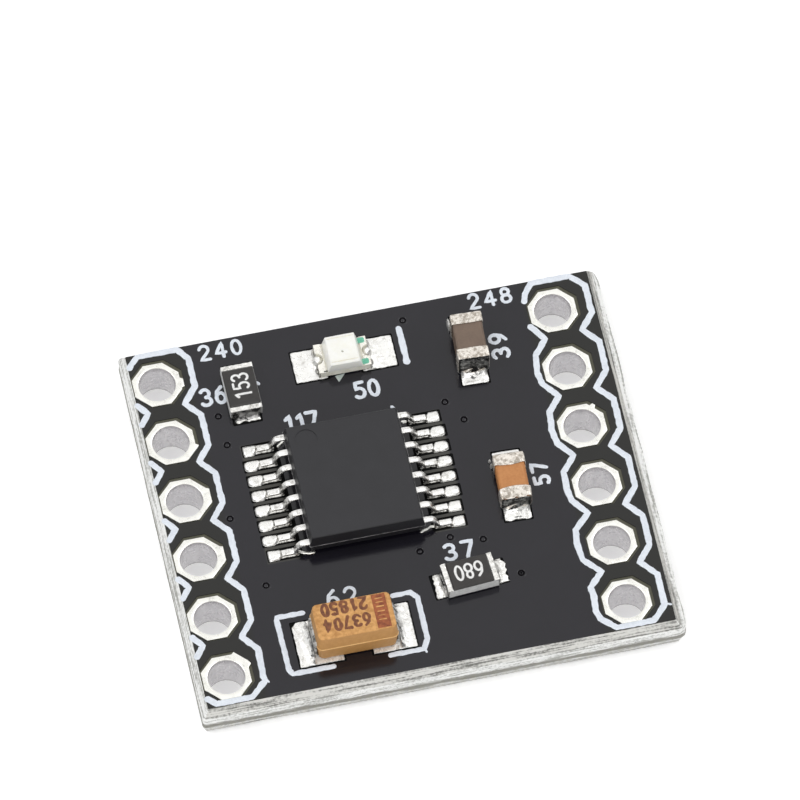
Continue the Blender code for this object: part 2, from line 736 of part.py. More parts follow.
def make_driver_chip():
    """The moulded case, drawn in above and below the line that the leads leave from."""
    place = add_place("driver_chip", GRID_X + CHIP_X, GRID_Y + CHIP_Y)
    length = LEAD_ROW + 2 * CHIP_CASE_END
    bottom = CHIP_CASE_STANDOFF
    top = CHIP_CASE_STANDOFF + CHIP_CASE_HEIGHT
    bm = bmesh.new()
    sections = []
    for z, draft in ((bottom, CHIP_CASE_DRAFT), (LEAD_EXIT_HEIGHT, 0),
                     (top - CHIP_CASE_EDGE, CHIP_CASE_DRAFT),
                     (top, CHIP_CASE_DRAFT + CHIP_CASE_EDGE)):
        sections.append(rounded_rectangle(CHIP_CASE_WIDTH - 2 * draft, length - 2 * draft,
                                          CHIP_CASE_EDGE, z, steps=1))
    loft(bm, sections)
    case = add_object("driver_chip_case", mesh_from(bm, "driver_chip_case"), chip_epoxy(),
                      place)
    case.data.shade_flat()
    cutter = cut_chip_case()
    cutter.parent = place
    add_boolean(case, cutter)
    round_ended = make_chip_lead(CHIP_LAND_TOE, False)
    square_ended = make_chip_lead(CHIP_SQUARE_TOE, True)
    for number in range(1, 2 * LEADS_PER_SIDE + 1):
        left = number <= LEADS_PER_SIDE
        row = number - 1 if left else 2 * LEADS_PER_SIDE - number
        y = LEAD_ROW / 2 - row * LEAD_PITCH
        mesh = square_ended if number in CHIP_SQUARE_LANDS else round_ended
        add_object(f"driver_chip_lead_{number:02d}", mesh, lead_plating(), place,
                   math.pi if left else 0.0, (0, y, 0))


def joint_land(bm, face, wall, climb, toe):
    """The solder under and before a chip's end, rising inside the end's own metal."""
    half = JOINT_WIDTH / 2
    solder_land(bm, [(face - JOINT_INNER, half, LAND_HEIGHT - LAND_ROUND / 4),
                     (face - wall * 0.75, half, LAND_HEIGHT + JOINT_FILM),
                     (face - wall * 0.5, half, climb),
                     *fillet_stations(face, toe, half, climb)])


def end_cap(bm, height, bulge, edge_size):
    """The dipped metal end of a ceramic capacitor: five walls round its ceramic."""
    start = CERAMIC_LENGTH / 2 - CERAMIC_BAND
    block(bm, (CERAMIC_BAND, CERAMIC_WIDTH, height),
          (start + CERAMIC_BAND / 2, 0, LAND_HEIGHT + height / 2))
    rounded = [edge for edge in bm.edges
               if max(vert.co.x for vert in edge.verts) > start + CERAMIC_BAND / 2]
    bmesh.ops.bevel(bm, geom=rounded, offset=edge_size, segments=2, profile=0.5,
                    affect="EDGES", material=-1)
    mouth = min(bm.faces, key=lambda face: face.calc_center_median().x)
    straight = [edge for edge in mouth.edges if edge.calc_length() > 2 * edge_size]
    bmesh.ops.subdivide_edges(bm, edges=straight, cuts=CERAMIC_RIM_CUTS)
    mouth = min(bm.faces, key=lambda face: face.calc_center_median().x)
    bmesh.ops.inset_region(bm, faces=[mouth], thickness=CERAMIC_WALL, use_even_offset=True)
    rim = [vert for vert in bm.verts if vert.co.x < start + FIT]
    inner = max((face for face in bm.faces if all(vert in rim for vert in face.verts)),
                key=lambda face: face.calc_area())
    grown = bmesh.ops.extrude_face_region(bm, geom=[inner])["geom"]
    moved = [item for item in grown if isinstance(item, bmesh.types.BMVert)]
    bmesh.ops.translate(bm, verts=moved, vec=(CERAMIC_BAND - CERAMIC_WALL, 0, 0))
    bmesh.ops.delete(bm, geom=[inner], context="FACES_ONLY")
    middle = LAND_HEIGHT + height / 2
    for vert in rim:
        across = min(1.0, abs(2 * vert.co.y / CERAMIC_WIDTH))
        upright = min(1.0, abs(2 * (vert.co.z - middle) / height))
        vert.co.x -= bulge * (2 - across ** 2 - upright ** 2)


def make_ceramic(name, height, bulge, edge_size, ceramic):
    """A ceramic block between two dipped metal ends, soldered to its lands."""
    x, y, turn, *_ = chip_places()[name]
    place = add_place(name, x, y, turn)
    gap = CERAMIC_WALL + FIT
    size = (CERAMIC_LENGTH - 2 * gap, CERAMIC_WIDTH - 2 * gap, height - 2 * gap)
    bm = bmesh.new()
    block(bm, size, (0, 0, LAND_HEIGHT + height / 2))
    bmesh.ops.bevel(bm, geom=bm.edges[:], offset=edge_size, segments=2, profile=0.5,
                    affect="EDGES", material=-1)
    add_object(name + "_body", mesh_from(bm, name + "_body"), ceramic, place)
    cap = bmesh.new()
    end_cap(cap, height, bulge, edge_size)
    land = bmesh.new()
    joint_land(land, CERAMIC_LENGTH / 2, CERAMIC_WALL, CERAMIC_CLIMB, JOINT_LONG_TOE)
    mesh = fused(name + "_joint", cap, land)
    add_object(name + "_joint_back", mesh, end_metal(), place)
    add_object(name + "_joint_front", mesh, end_metal(), place, math.pi)


def make_resistor(name, ends):
    """A ceramic base under a raised dark glaze, with metal folded round both ends."""
    x, y, turn, _, _, toes, _ = chip_places()[name]
    place = add_place(name, x, y, turn)
    end = RESISTOR_LENGTH / 2
    gap = RESISTOR_WALL + FIT
    bottom = LAND_HEIGHT + gap
    top = bottom + RESISTOR_BASE
    bm = bmesh.new()
    block(bm, (RESISTOR_LENGTH - 2 * gap, RESISTOR_WIDTH, RESISTOR_BASE),
          (0, 0, (bottom + top) / 2))
    add_object(name + "_base", mesh_from(bm, name + "_base"), alumina(), place)
    bm = bmesh.new()
    sections = []
    for z, inset in ((top + FIT, 0), (top + FIT + GLAZE_HEIGHT - GLAZE_EDGE, 0),
                     (top + FIT + GLAZE_HEIGHT, GLAZE_EDGE)):
        sections.append(rounded_rectangle(
            GLAZE_LENGTH - 2 * inset, RESISTOR_WIDTH - 2 * (GLAZE_MARGIN + inset),
            GLAZE_EDGE, z, steps=2))
    loft(bm, sections)
    add_object(name + "_glaze", mesh_from(bm, name + "_glaze"), resistor_glaze(), place)
    lip = (RESISTOR_LENGTH - GLAZE_LENGTH) / 2 - FIT
    high = top + FIT + RESISTOR_WALL
    fold = RESISTOR_FOLD
    for toe, side, angle in zip(toes, ends, (0.0, math.pi)):
        metal = bmesh.new()
        prism_across(metal, (
            (end - RESISTOR_BAND, LAND_HEIGHT), (end - fold, LAND_HEIGHT),
            (end, LAND_HEIGHT + fold), (end, high - fold), (end - fold, high),
            (end - lip, high), (end - lip, top + FIT), (end - RESISTOR_WALL, top + FIT),
            (end - RESISTOR_WALL, bottom - FIT), (end - RESISTOR_BAND, bottom - FIT)),
            RESISTOR_WIDTH)
        land = bmesh.new()
        joint_land(land, end, RESISTOR_WALL, RESISTOR_CLIMB, toe)
        mesh = fused(f"{name}_joint_{side}", metal, land)
        add_object(f"{name}_joint_{side}", mesh, end_metal(), place, angle)


def add_wide_lands(name, place, climb):
    """The two large tinned lands of a component, with solder up to its end faces."""
    _, _, _, length, width, toes, inner = chip_places()[name]
    face = length / 2 + FIT
    half = width / 2
    lands = []
    for toe, side, angle in zip(toes, ("right", "left"), (0.0, math.pi)):
        bm = bmesh.new()
        solder_land(bm, [(face - inner, half - LAND_ROUND, LAND_HEIGHT / 2),
                         (face - inner + LAND_ROUND, half, LAND_HEIGHT),
                         (face - FIT / 2, half, LAND_HEIGHT),
                         *fillet_stations(face, toe, half, climb)])
        mesh = mesh_from(bm, f"{name}_land_{side}")
        lands.append(add_object(f"{name}_land_{side}", mesh, tinned(), place, angle))
    return lands


def make_tantalum():
    """A moulded case with drafted halves, and terminals that fold down and under it."""
    x, y, turn, _, width, toes, _ = chip_places()["tantalum"]
    place = add_place("tantalum", x, y, turn)
    base = LAND_HEIGHT + FIT
    bottom = base + TANTALUM_STANDOFF
    parting = base + TANTALUM_PARTING
    top = base + TANTALUM_HEIGHT
    end = TANTALUM_LENGTH / 2 - TERMINAL_THICKNESS - FIT
    bm = bmesh.new()
    sections = []
    for z, draft in ((bottom, TANTALUM_DRAFT), (parting, 0),
                     (top - TANTALUM_EDGE, TANTALUM_DRAFT),
                     (top, TANTALUM_DRAFT + TANTALUM_EDGE)):
        sections.append(rounded_rectangle(2 * (end - draft), TANTALUM_WIDTH - 2 * draft,
                                          TANTALUM_CORNER, z, TANTALUM_CORNER_STEPS))
    loft(bm, sections)
    case = add_object("tantalum_case", mesh_from(bm, "tantalum_case"), tantalum_epoxy(),
                      place)
    case.data.shade_flat()
    slots = bmesh.new()
    wide = TERMINAL_WIDTH + 2 * FIT
    foot_top = base + TERMINAL_THICKNESS + FIT
    for side in (-1, 1):
        block(slots, (2 * (TERMINAL_ROOT + FIT), wide, TERMINAL_THICKNESS + 2 * FIT),
              (side * end, 0, parting))
        block(slots, (2 * (TERMINAL_FOOT + FIT), wide, 2 * (foot_top - bottom)),
              (side * (end + TERMINAL_THICKNESS), 0, bottom))
    cutter = add_cutter("cut_tantalum_case", slots)
    cutter.parent = place
    add_boolean(case, cutter)
    centre = end + FIT + TERMINAL_THICKNESS / 2
    foot = base + TERMINAL_THICKNESS / 2
    strip = bmesh.new()
    path = ((end - TERMINAL_ROOT, parting), (centre, parting), (centre, foot),
            (end + TERMINAL_THICKNESS - TERMINAL_FOOT, foot))
    prism_across(strip, strip_outline(path, TERMINAL_THICKNESS, TERMINAL_BEND),
                 TERMINAL_WIDTH)
    mesh = mesh_from(strip, "tantalum_terminal")
    add_object("tantalum_terminal_right", mesh, lead_plating(), place)
    add_object("tantalum_terminal_left", mesh, lead_plating(), place, math.pi)
    left_land = add_wide_lands("tantalum", place, TANTALUM_CLIMB)[1]
    clip = bmesh.new()
    corner = (-TANTALUM_LENGTH / 2 - FIT - toes[1], width / 2, LAND_HEIGHT / 2)
    across = TANTALUM_LAND_CLIP * math.sqrt(2)
    block(clip, (across, 2 * across, 2 * LAND_HEIGHT), corner, math.radians(135))
    clip_cutter = add_cutter("cut_tantalum_land", clip)
    clip_cutter.parent = place
    add_boolean(left_land, clip_cutter)


def make_led():
    """The lamp: a base with half-round end notches, its plated ends, die and lens."""
    x, y, turn, *_ = chip_places()["led"]
    place = add_place("led", x, y, turn)
    wall = LED_TERMINAL_WALL
    gap = wall + FIT
    end = LED_LENGTH / 2
    under = LAND_HEIGHT + FIT
    bottom = under + gap
    top = bottom + LED_BASE_HEIGHT
    bm = bmesh.new()
    block(bm, (LED_LENGTH - 2 * gap, LED_WIDTH, LED_BASE_HEIGHT),
          (0, 0, (bottom + top) / 2))
    base = add_object("led_base", mesh_from(bm, "led_base"), lamp_laminate(), place)
    high = top + FIT + wall
    metal = bmesh.new()
    prism_across(metal, (
        (end - LED_TERMINAL_BAND, under), (end, under), (end, high),
        (end - LED_TERMINAL_BAND, high), (end - LED_TERMINAL_BAND, top + FIT),
        (end - wall, top + FIT), (end - wall, bottom - FIT),
        (end - LED_TERMINAL_BAND, bottom - FIT)), LED_WIDTH)
    mesh = mesh_from(metal, "led_terminal")
    notches = bmesh.new()
    for side in (-1, 1):
        post(notches, HOLE_SIDES, LED_NOTCH_DIAMETER, under - CUT_PAST, high + CUT_PAST,
             Matrix.Translation((side * end, 0, 0)))
    cutter = add_cutter("cut_led_notches", notches)
    cutter.parent = place
    base.data.shade_flat()
    mesh.shade_flat()
    add_boolean(base, cutter)
    for name, angle in (("led_terminal_right", 0.0), ("led_terminal_left", math.pi)):
        add_boolean(add_object(name, mesh, lamp_plating(), place, angle), cutter)
    seat = top + FIT
    bm = bmesh.new()
    sections = []
    for z, slope, edge in ((seat, 0, 0), (seat + LENS_HEIGHT - LENS_EDGE, LENS_SLOPE, 0),
                           (seat + LENS_HEIGHT, LENS_SLOPE, LENS_EDGE)):
        sections.append(rounded_rectangle(LENS_LENGTH - 2 * (slope + edge),
                                          LED_WIDTH - 2 * edge, LENS_EDGE, z, steps=1))
    loft(bm, sections)
    lens = add_object("led_lens", mesh_from(bm, "led_lens"), lamp_resin(), place)
    pocket = bmesh.new()
    hollow = DIE_SIZE + 2 * DIE_CLEARANCE
    block(pocket, (hollow, hollow, 2 * (DIE_HEIGHT + DIE_CLEARANCE)), (0, 0, seat))
    cutter = add_cutter("cut_led_lens", pocket)
    cutter.parent = place
    lens.data.shade_flat()
    add_boolean(lens, cutter)
    bm = bmesh.new()
    block(bm, (DIE_SIZE, DIE_SIZE, DIE_HEIGHT), (0, 0, seat + DIE_HEIGHT / 2))
    add_object("led_die", mesh_from(bm, "led_die"), lamp_die(), place)
    add_wide_lands("led", place, LED_CLIMB)


def main():
    for item in list(bpy.data.objects):
        bpy.data.objects.remove(item)
    make_board()
    make_plated_holes()
    make_driver_chip()
    make_ceramic("tall_ceramic", TALL_CERAMIC_HEIGHT, TALL_CERAMIC_BULGE,
                 TALL_CERAMIC_EDGE, brown_ceramic())
    make_ceramic("low_ceramic", LOW_CERAMIC_HEIGHT, LOW_CERAMIC_BULGE,
                 LOW_CERAMIC_EDGE, orange_ceramic())
    make_resistor("back_resistor", ("back", "front"))
    make_resistor("front_resistor", ("right", "left"))
    make_tantalum()
    make_led()


main()
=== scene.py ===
"""DC motor driver module: the looks of a small black circuit board and its parts.

Shapes are given in millimetres in the part's own frame, finishes and the stage in metres.
Places on the board are given from the middle of its twelve holes."""

import math

import bmesh
import bpy
from mathutils import Matrix, Vector, noise


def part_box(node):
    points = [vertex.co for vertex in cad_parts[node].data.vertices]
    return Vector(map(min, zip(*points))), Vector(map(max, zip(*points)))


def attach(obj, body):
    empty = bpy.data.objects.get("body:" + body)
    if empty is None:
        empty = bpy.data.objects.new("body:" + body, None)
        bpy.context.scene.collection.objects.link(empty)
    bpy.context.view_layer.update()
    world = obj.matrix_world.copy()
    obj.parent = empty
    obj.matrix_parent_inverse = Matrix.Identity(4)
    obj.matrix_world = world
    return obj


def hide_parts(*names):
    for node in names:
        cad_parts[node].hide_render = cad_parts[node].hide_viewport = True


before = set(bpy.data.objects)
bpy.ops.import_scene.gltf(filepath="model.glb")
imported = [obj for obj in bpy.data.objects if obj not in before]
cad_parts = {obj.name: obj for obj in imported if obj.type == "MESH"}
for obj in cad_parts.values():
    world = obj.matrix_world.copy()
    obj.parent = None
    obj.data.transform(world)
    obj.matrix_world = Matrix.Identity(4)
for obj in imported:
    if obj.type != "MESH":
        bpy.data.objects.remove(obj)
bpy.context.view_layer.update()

MM = 0.001
GRID_X = -0.35
GRID_Y = -0.15
BOARD_LENGTH = 18.34
BOARD_WIDTH = 15.8
BOARD_TOP = 1.6
MASK = 0.035
LAMINATE_TOP = BOARD_TOP - MASK
SEAT = LAMINATE_TOP + 0.01
SCORE_DEPTH = 0.5
SCORE_RUN = 0.27
SCORE_RUN_BELOW = 0.15
BOARD_CORNER = 0.15
TOP_CORNER = 0.04
SNAP_REACH = 0.17
CORE_LEVELS = (MASK, 0.14, 0.24, 0.33, 0.42, 0.5, 0.56, 0.63, 0.7, 0.77, 0.84, 0.91, 0.98,
               1.04, 1.1, 1.16, 1.22, 1.28, 1.34, 1.4, 1.46, 1.52, LAMINATE_TOP)
HOLE_PITCH = 2.54
COLUMN_SPACING = 15.24
BORE = 1.4
BARREL = 1.5
HOLE_LAND = 1.8
HOLE_TOP = SEAT + 0.06
WINDOW_MARGIN = 0.08
WINDOW_SHIFT = (0.04, 0.05)
PART_MARGIN = 0.045
PARTS_REACH = 6.15
COPPER_MIDDLE = -0.0002
CHIP_PLACE = (GRID_X - 1.3, GRID_Y + 0.55)
CHIP_HALF = (2.2, 2.5)
LEAD_PITCH = 0.65
LEAD_WIDTH = 0.25
LEAD_THICKNESS = 0.13
LEAD_TOE = 3.24
LEAD_WINDOW = 0.53
LEAD_WINDOW_START = 2.52
LEAD_WINDOW_END = 3.85
SQUARE_WINDOW_END = 3.77
SQUARE_LANDS = (1, 8, 9, 10, 16)


# ---------------------------------------------------------------- shader nodes

def feed(tree, socket, value):
    """A socket linked to another one, or set to a plain number or colour."""
    if isinstance(value, bpy.types.NodeSocket):
        tree.links.new(value, socket)
    elif isinstance(value, tuple) and socket.type == "RGBA":
        socket.default_value = (*value, 1.0)
    else:
        socket.default_value = value


def new_node(tree, kind, given=(), **settings):
    """A shader node with its settings, and with what its inputs are given."""
    node = tree.nodes.new("ShaderNode" + kind)
    for label, value in settings.items():
        setattr(node, label, value)
    for label, value in dict(given).items():
        feed(tree, node.inputs[label], value)
    return node


def calc(tree, operation, *values):
    """A Math node fed with sockets or plain numbers."""
    return new_node(tree, "Math", enumerate(values), operation=operation).outputs[0]


def product(tree, first, *others):
    for other in others:
        first = calc(tree, "MULTIPLY", first, other)
    return first


def weighed(tree, first, share, second):
    """The sum of a share of one value and the rest of another."""
    return calc(tree, "ADD", product(tree, first, share), product(tree, second, 1 - share))


def apart(tree, axis, place):
    """The distance from a place along an axis."""
    return calc(tree, "ABSOLUTE", calc(tree, "SUBTRACT", axis, place))


def cloud(tree, vector, scale, detail=3.0, rough=0.55):
    """A Noise Texture's value; the scale may be a socket."""
    given = {"Vector": vector, "Scale": scale, "Detail": detail, "Roughness": rough}
    return new_node(tree, "TexNoise", given).outputs["Fac"]


def ramp(tree, value, low, high, to_low=0.0, to_high=1.0):
    """A value stretched from one range to another and held inside it."""
    given = {"Value": value, "From Min": low, "From Max": high, "To Min": to_low,
             "To Max": to_high}
    return new_node(tree, "MapRange", given).outputs["Result"]


def blend(tree, share, first, second):
    """A colour mixed from two, each a socket or a plain colour."""
    given = {0: share, 6: first, 7: second}
    return new_node(tree, "Mix", given, data_type="RGBA").outputs[2]


def stretched(tree, vector, scale):
    """Coordinates scaled unevenly, for streaks."""
    return new_node(tree, "Mapping", {"Scale": scale, "Vector": vector}).outputs["Vector"]


def object_coordinates(tree):
    return new_node(tree, "TexCoord").outputs["Object"]


def axes(tree, vector):
    return new_node(tree, "SeparateXYZ", {0: vector}).outputs


def facing(tree):
    """The X, Y and Z of the surface's normal."""
    return axes(tree, new_node(tree, "NewGeometry").outputs["Normal"])


def new_group(name, inputs, outputs):
    """An empty shader node group with named sockets, and what it is given."""
    group = bpy.data.node_groups.new(name, "ShaderNodeTree")
    for way, labels in (("INPUT", inputs), ("OUTPUT", outputs)):
        for label in labels:
            kind = "Color" if label in ("Color", "Light", "Dark") else "Float"
            group.interface.new_socket(label, in_out=way, socket_type="NodeSocket" + kind)
    return group, group.nodes.new("NodeGroupInput").outputs


def closed_group(tree, *values):
    """The group with its outputs fed in their order."""
    for socket, value in zip(tree.nodes.new("NodeGroupOutput").inputs, values):
        tree.links.new(value, socket)
    return tree


def grain_group():
    """Fine grain of a moulded or printed skin: a tint mask and a height."""
    tree, given = new_group("skin_grain", ("Grain", "Patches"), ("Tint", "Height"))
    here = object_coordinates(tree)
    fine = cloud(tree, here, given["Grain"], 2.0, 0.6)
    broad = cloud(tree, here, given["Patches"], 3.0, 0.5)
    return closed_group(tree, ramp(tree, weighed(tree, fine, 0.5, broad), 0.38, 0.62), fine)


def solder_group():
    """Crystalline mottle of reflowed tin: bright grains, grey hollows and stains."""
    tree, given = new_group("solder_mottle", ("Grain", "Hollows", "Light", "Dark"),
                            ("Color", "Roughness", "Height"))
    here = object_coordinates(tree)
    fine = cloud(tree, here, given["Grain"], 4.0, 0.65)
    coarse = cloud(tree, here, 3500.0, 3.0, 0.6)
    mixed = weighed(tree, fine, 0.65, coarse)
    edge = calc(tree, "ADD", 0.35, product(tree, given["Hollows"], 0.3))
    hollow = ramp(tree, mixed, edge, calc(tree, "SUBTRACT", edge, 0.12))
    return closed_group(tree, blend(tree, hollow, given["Light"], given["Dark"]),
                        ramp(tree, coarse, 0.3, 0.7, 0.18, 0.4), mixed)


def fibre_group():
    """Streaked layers of a sawn and snapped glass laminate, along the board's edges."""
    tree, given = new_group("laminate_fibres", ("Light", "Dark"), ("Color", "Height"))
    here = object_coordinates(tree)
    lines = cloud(tree, stretched(tree, here, (500.0, 500.0, 16000.0)), 1.0, 4.0, 0.6)
    mixed = weighed(tree, lines, 0.7, cloud(tree, here, 9000.0, 3.0, 0.6))
    share = ramp(tree, mixed, 0.53, 0.41)
    return closed_group(tree, blend(tree, share, given["Light"], given["Dark"]), mixed)


GRAIN = grain_group()
SOLDER = solder_group()
FIBRES = fibre_group()


# ---------------------------------------------------------------- finishes

def new_finish(name, colour, roughness, metallic=0.0, specular=0.5):
    """A material whose plain values sit on the shader's own sockets."""
    finish = bpy.data.materials.new(name)
    finish.use_nodes = True
    finish.diffuse_color = (*colour, 1.0)
    tree = finish.node_tree
    shader = tree.nodes["Principled BSDF"].inputs
    for label, value in (("Base Color", colour), ("Roughness", roughness),
                         ("Metallic", metallic), ("Specular IOR Level", specular)):
        feed(tree, shader[label], value)
    return finish, tree, shader


def place_group(tree, group, **values):
    """The outputs of a group in a material, with its own plain values."""
    return new_node(tree, "Group", values, node_tree=group).outputs


def add_bump(tree, shader, height, strength, microns):
    given = {"Strength": strength, "Distance": microns * 1e-6, "Height": height}
    tree.links.new(new_node(tree, "Bump", given).outputs["Normal"], shader["Normal"])


def skin_finish(name, light, dark, roughness, grain=20000, patches=1200, strength=0.25,
                microns=4, specular=0.5):
    """A moulded, printed or fired skin with a fine grain and a slight change of tint."""
    finish, tree, shader = new_finish(name, light, roughness, specular=specular)
    skin = place_group(tree, GRAIN, Grain=grain, Patches=patches)
    feed(tree, shader["Base Color"], blend(tree, skin["Tint"], light, dark))
    add_bump(tree, shader, skin["Height"], strength, microns)
    return finish


def tin_finish(name, light, dark, hollows, grain=14000, strength=0.5, microns=10,
               metallic=1.0):
    """Tin or solder with its crystalline mottle."""
    finish, tree, shader = new_finish(name, light, 0.3, metallic)
    tin = place_group(tree, SOLDER, Grain=grain, Hollows=hollows, Light=light, Dark=dark)
    feed(tree, shader["Base Color"], tin["Color"])
    feed(tree, shader["Roughness"], tin["Roughness"])
    add_bump(tree, shader, tin["Height"], strength, microns)
    return finish


def painted_upright_shade(finish, colour):
    """Painted shade: a darker colour on a moulded case's upright faces."""
    tree = finish.node_tree
    base = tree.nodes["Principled BSDF"].inputs["Base Color"]
    upright = ramp(tree, facing(tree)["Z"], 0.4, 0.2, 0.0, 0.8)
    feed(tree, base, blend(tree, upright, base.links[0].from_socket, colour))


def barrel_finish():
    """A drilled and plated wall, with painted shade towards its lower rim."""
    light = (0.78, 0.765, 0.775)
    finish, tree, shader = new_finish("barrel_tin", light, 0.3, 1.0)
    tin = place_group(tree, SOLDER, Grain=9000, Hollows=0.5, Light=light,
                      Dark=(0.60, 0.585, 0.60))
    here = object_coordinates(tree)
    drawn = cloud(tree, stretched(tree, here, (4000.0, 4000.0, 500.0)), 1.0, 3.0, 0.5)
    height = calc(tree, "ADD", axes(tree, here)["Z"], product(tree, drawn, 0.0001))
    walls = blend(tree, ramp(tree, drawn, 0.4, 0.62, 0.0, 0.35), tin["Color"],
                  (0.64, 0.63, 0.65))
    # painted shade: darker towards the barrel's lower rim, deep in the hole
    rim = ramp(tree, height, 0.00022, 0.00008, 0.0, 0.5)
    feed(tree, shader["Base Color"], blend(tree, rim, walls, (0.30, 0.295, 0.30)))
    feed(tree, shader["Roughness"], tin["Roughness"])
    add_bump(tree, shader, tin["Height"], 0.15, 6)
    return finish


def mask_finish():
    """Black solder mask: violet over copper, olive over the laminate, paler between leads."""
    finish, tree, shader = new_finish("black_solder_mask", (0.009, 0.008, 0.011), 0.15)
    skin = place_group(tree, GRAIN, Grain=9000, Patches=700)
    tint = skin["Tint"]
    place = axes(tree, object_coordinates(tree))
    bare = ramp(tree, apart(tree, place["X"], COPPER_MIDDLE), 0.00635, 0.0066)
    copper = blend(tree, tint, (0.0086, 0.0078, 0.0122), (0.0066, 0.0060, 0.0096))
    fibre = blend(tree, tint, (0.0078, 0.0076, 0.0058), (0.0058, 0.0057, 0.0042))
    out = apart(tree, place["X"], CHIP_PLACE[0] * MM)
    along = apart(tree, place["Y"], CHIP_PLACE[1] * MM)
    rows = product(tree, ramp(tree, out, 0.00254, 0.00262), ramp(tree, out, 0.00386, 0.00378),
                   ramp(tree, along, 0.0026, 0.00252))
    spotted = blend(tree, tint, (0.050, 0.048, 0.041), (0.034, 0.033, 0.028))
    feed(tree, shader["Base Color"], blend(tree, rows, blend(tree, bare, copper, fibre), spotted))
    add_bump(tree, shader, skin["Height"], 0.3, 4)
    return finish


def laminate_finish():
    """Glass laminate: streaked along the snapped edges, olive in the mask's windows, with painted
    shadow and shade.
    """
    finish, tree, shader = new_finish("glass_laminate", (0.68, 0.7, 0.61), 0.6)
    sawn = place_group(tree, FIBRES, Light=(0.90, 0.905, 0.89), Dark=(0.36, 0.36, 0.335))
    # darker fibres: painted shade for the slopes turned from the light
    painted_shade_fibres = place_group(tree, FIBRES, Light=(0.62, 0.61, 0.575), Dark=(0.12, 0.12, 0.11))
    here = object_coordinates(tree)
    place = axes(tree, here)
    turned_to = facing(tree)
    torn = cloud(tree, stretched(tree, here, (900.0, 900.0, 5000.0)), 1.0, 4.0, 0.6)
    web = calc(tree, "ADD", place["Z"], product(tree, torn, 0.0003))
    # painted shadow: a dark band across the web, under the torn edge
    band = product(tree, ramp(tree, web, 0.00058, 0.00070), ramp(tree, web, 0.00094, 0.00084),
                   0.9)
    edge = blend(tree, band, sawn["Color"], (0.20, 0.195, 0.165))
    # painted shade: the right-hand and front slopes darker, as if turned from the light
    painted_shade_side = calc(tree, "MAXIMUM", ramp(tree, turned_to["X"], 0.6, 0.75),
                  ramp(tree, turned_to["Y"], -0.6, -0.75, 0.0, 0.8))
    slope = calc(tree, "MAXIMUM", ramp(tree, place["Z"], 0.00116, 0.00120),
                 ramp(tree, place["Z"], 0.00044, 0.00040))
    edge = blend(tree, product(tree, painted_shade_side, slope), edge, painted_shade_fibres["Color"])
    # near-black painted shade on the laminate in the windows among the parts, olive further out
    outer = ramp(tree, apart(tree, place["X"], COPPER_MIDDLE), 0.0060, 0.0063)
    window_olive_and_shade = blend(tree, outer, (0.02, 0.02, 0.018), (0.072, 0.070, 0.046))
    top = ramp(tree, turned_to["Z"], 0.93, 0.97)
    feed(tree, shader["Base Color"], blend(tree, top, edge, window_olive_and_shade))
    add_bump(tree, shader, sawn["Height"], 0.5, 20)
    return finish


MASK_BLACK = mask_finish()
LAMINATE = laminate_finish()
BARREL_TIN = barrel_finish()

# Tin: light, dark, hollows, grain, strength and depth of its relief, and how metallic.
LAND_TIN = tin_finish("land_tin", (0.90, 0.895, 0.845), (0.72, 0.71, 0.66), 0.34, 6000, 0.15, 6)
BIG_LAND_TIN = tin_finish("wide_land_tin", (0.93, 0.925, 0.90), (0.62, 0.60, 0.56), 0.42,
                          9000, 0.4, 12, 0.4)
SOLDER_TIN = tin_finish("solder_tin", (0.89, 0.885, 0.86), (0.60, 0.59, 0.56), 0.42,
                        5000, 0.25, 10, 0.7)
LEAD_TIN = tin_finish("lead_tin", (0.90, 0.89, 0.87), (0.52, 0.51, 0.48), 0.46, 9000, 0.2, 8)
# painted shade for the solder film under each lead's foot
LEAD_PAINTED_SHADE = tin_finish("lead_film_painted_shade", (0.62, 0.61, 0.58), (0.20, 0.195, 0.18), 0.6, 9000, 0.3)
END_METAL = tin_finish("end_metal", (0.84, 0.79, 0.72), (0.40, 0.355, 0.30), 0.66,
                       8500, 0.7, 12, 0.6)
# painted reflection of the dark board on the caps' faces towards the front
END_PAINTED_SHADE = tin_finish("end_face_stain", (0.30, 0.30, 0.29), (0.012, 0.012, 0.012), 0.85,
                       7500, 0.9, 20, 0.7)
TERMINAL_TIN = tin_finish("terminal_tin", (0.50, 0.49, 0.47), (0.10, 0.098, 0.09), 0.6,
                          7000, 0.4, 10, 0.7)
RESISTOR_END = tin_finish("resistor_end", (0.84, 0.83, 0.80), (0.50, 0.49, 0.46), 0.5,
                          6000, 0.35, 10, 0.8)
# painted shade and reflection on the resistors' end faces
RESISTOR_END_PAINTED_SHADE = tin_finish("resistor_end_stain", (0.52, 0.51, 0.50), (0.015, 0.015, 0.015),
                            0.8, 3600, 0.6, 20, 0.8)
# painted shade on solder close to a case's end, and in the lamp's crescents
LAND_PAINTED_SHADE = tin_finish("land_painted_shade", (0.55, 0.54, 0.52), (0.07, 0.07, 0.068), 0.6,
                        5200, 0.5, 10, 0.5)
LAMP_METAL = tin_finish("lamp_end_metal", (0.93, 0.91, 0.84), (0.60, 0.57, 0.49), 0.4,
                        6000, metallic=0.6)

# Skins: light, dark, roughness, grain, patches, and strength and depth of their relief.
# near-black painted shade for the laminate in the mask's windows among the parts
WINDOW_PAINTED_SHADE = skin_finish("window_painted_shade", (0.006, 0.006, 0.006), (0.003, 0.003, 0.003), 0.8,
                          specular=0.1)
# near-black painted shade, without gloss, in the vias' hollows
VIA_PAINTED_SHADE = skin_finish("via_painted_shade", (0.010, 0.009, 0.011), (0.006, 0.005, 0.006), 0.9,
                       specular=0.0)
PRINT_WHITE = skin_finish("board_print_white", (0.79, 0.835, 0.90), (0.68, 0.725, 0.79), 0.55,
                          16000, 2500)
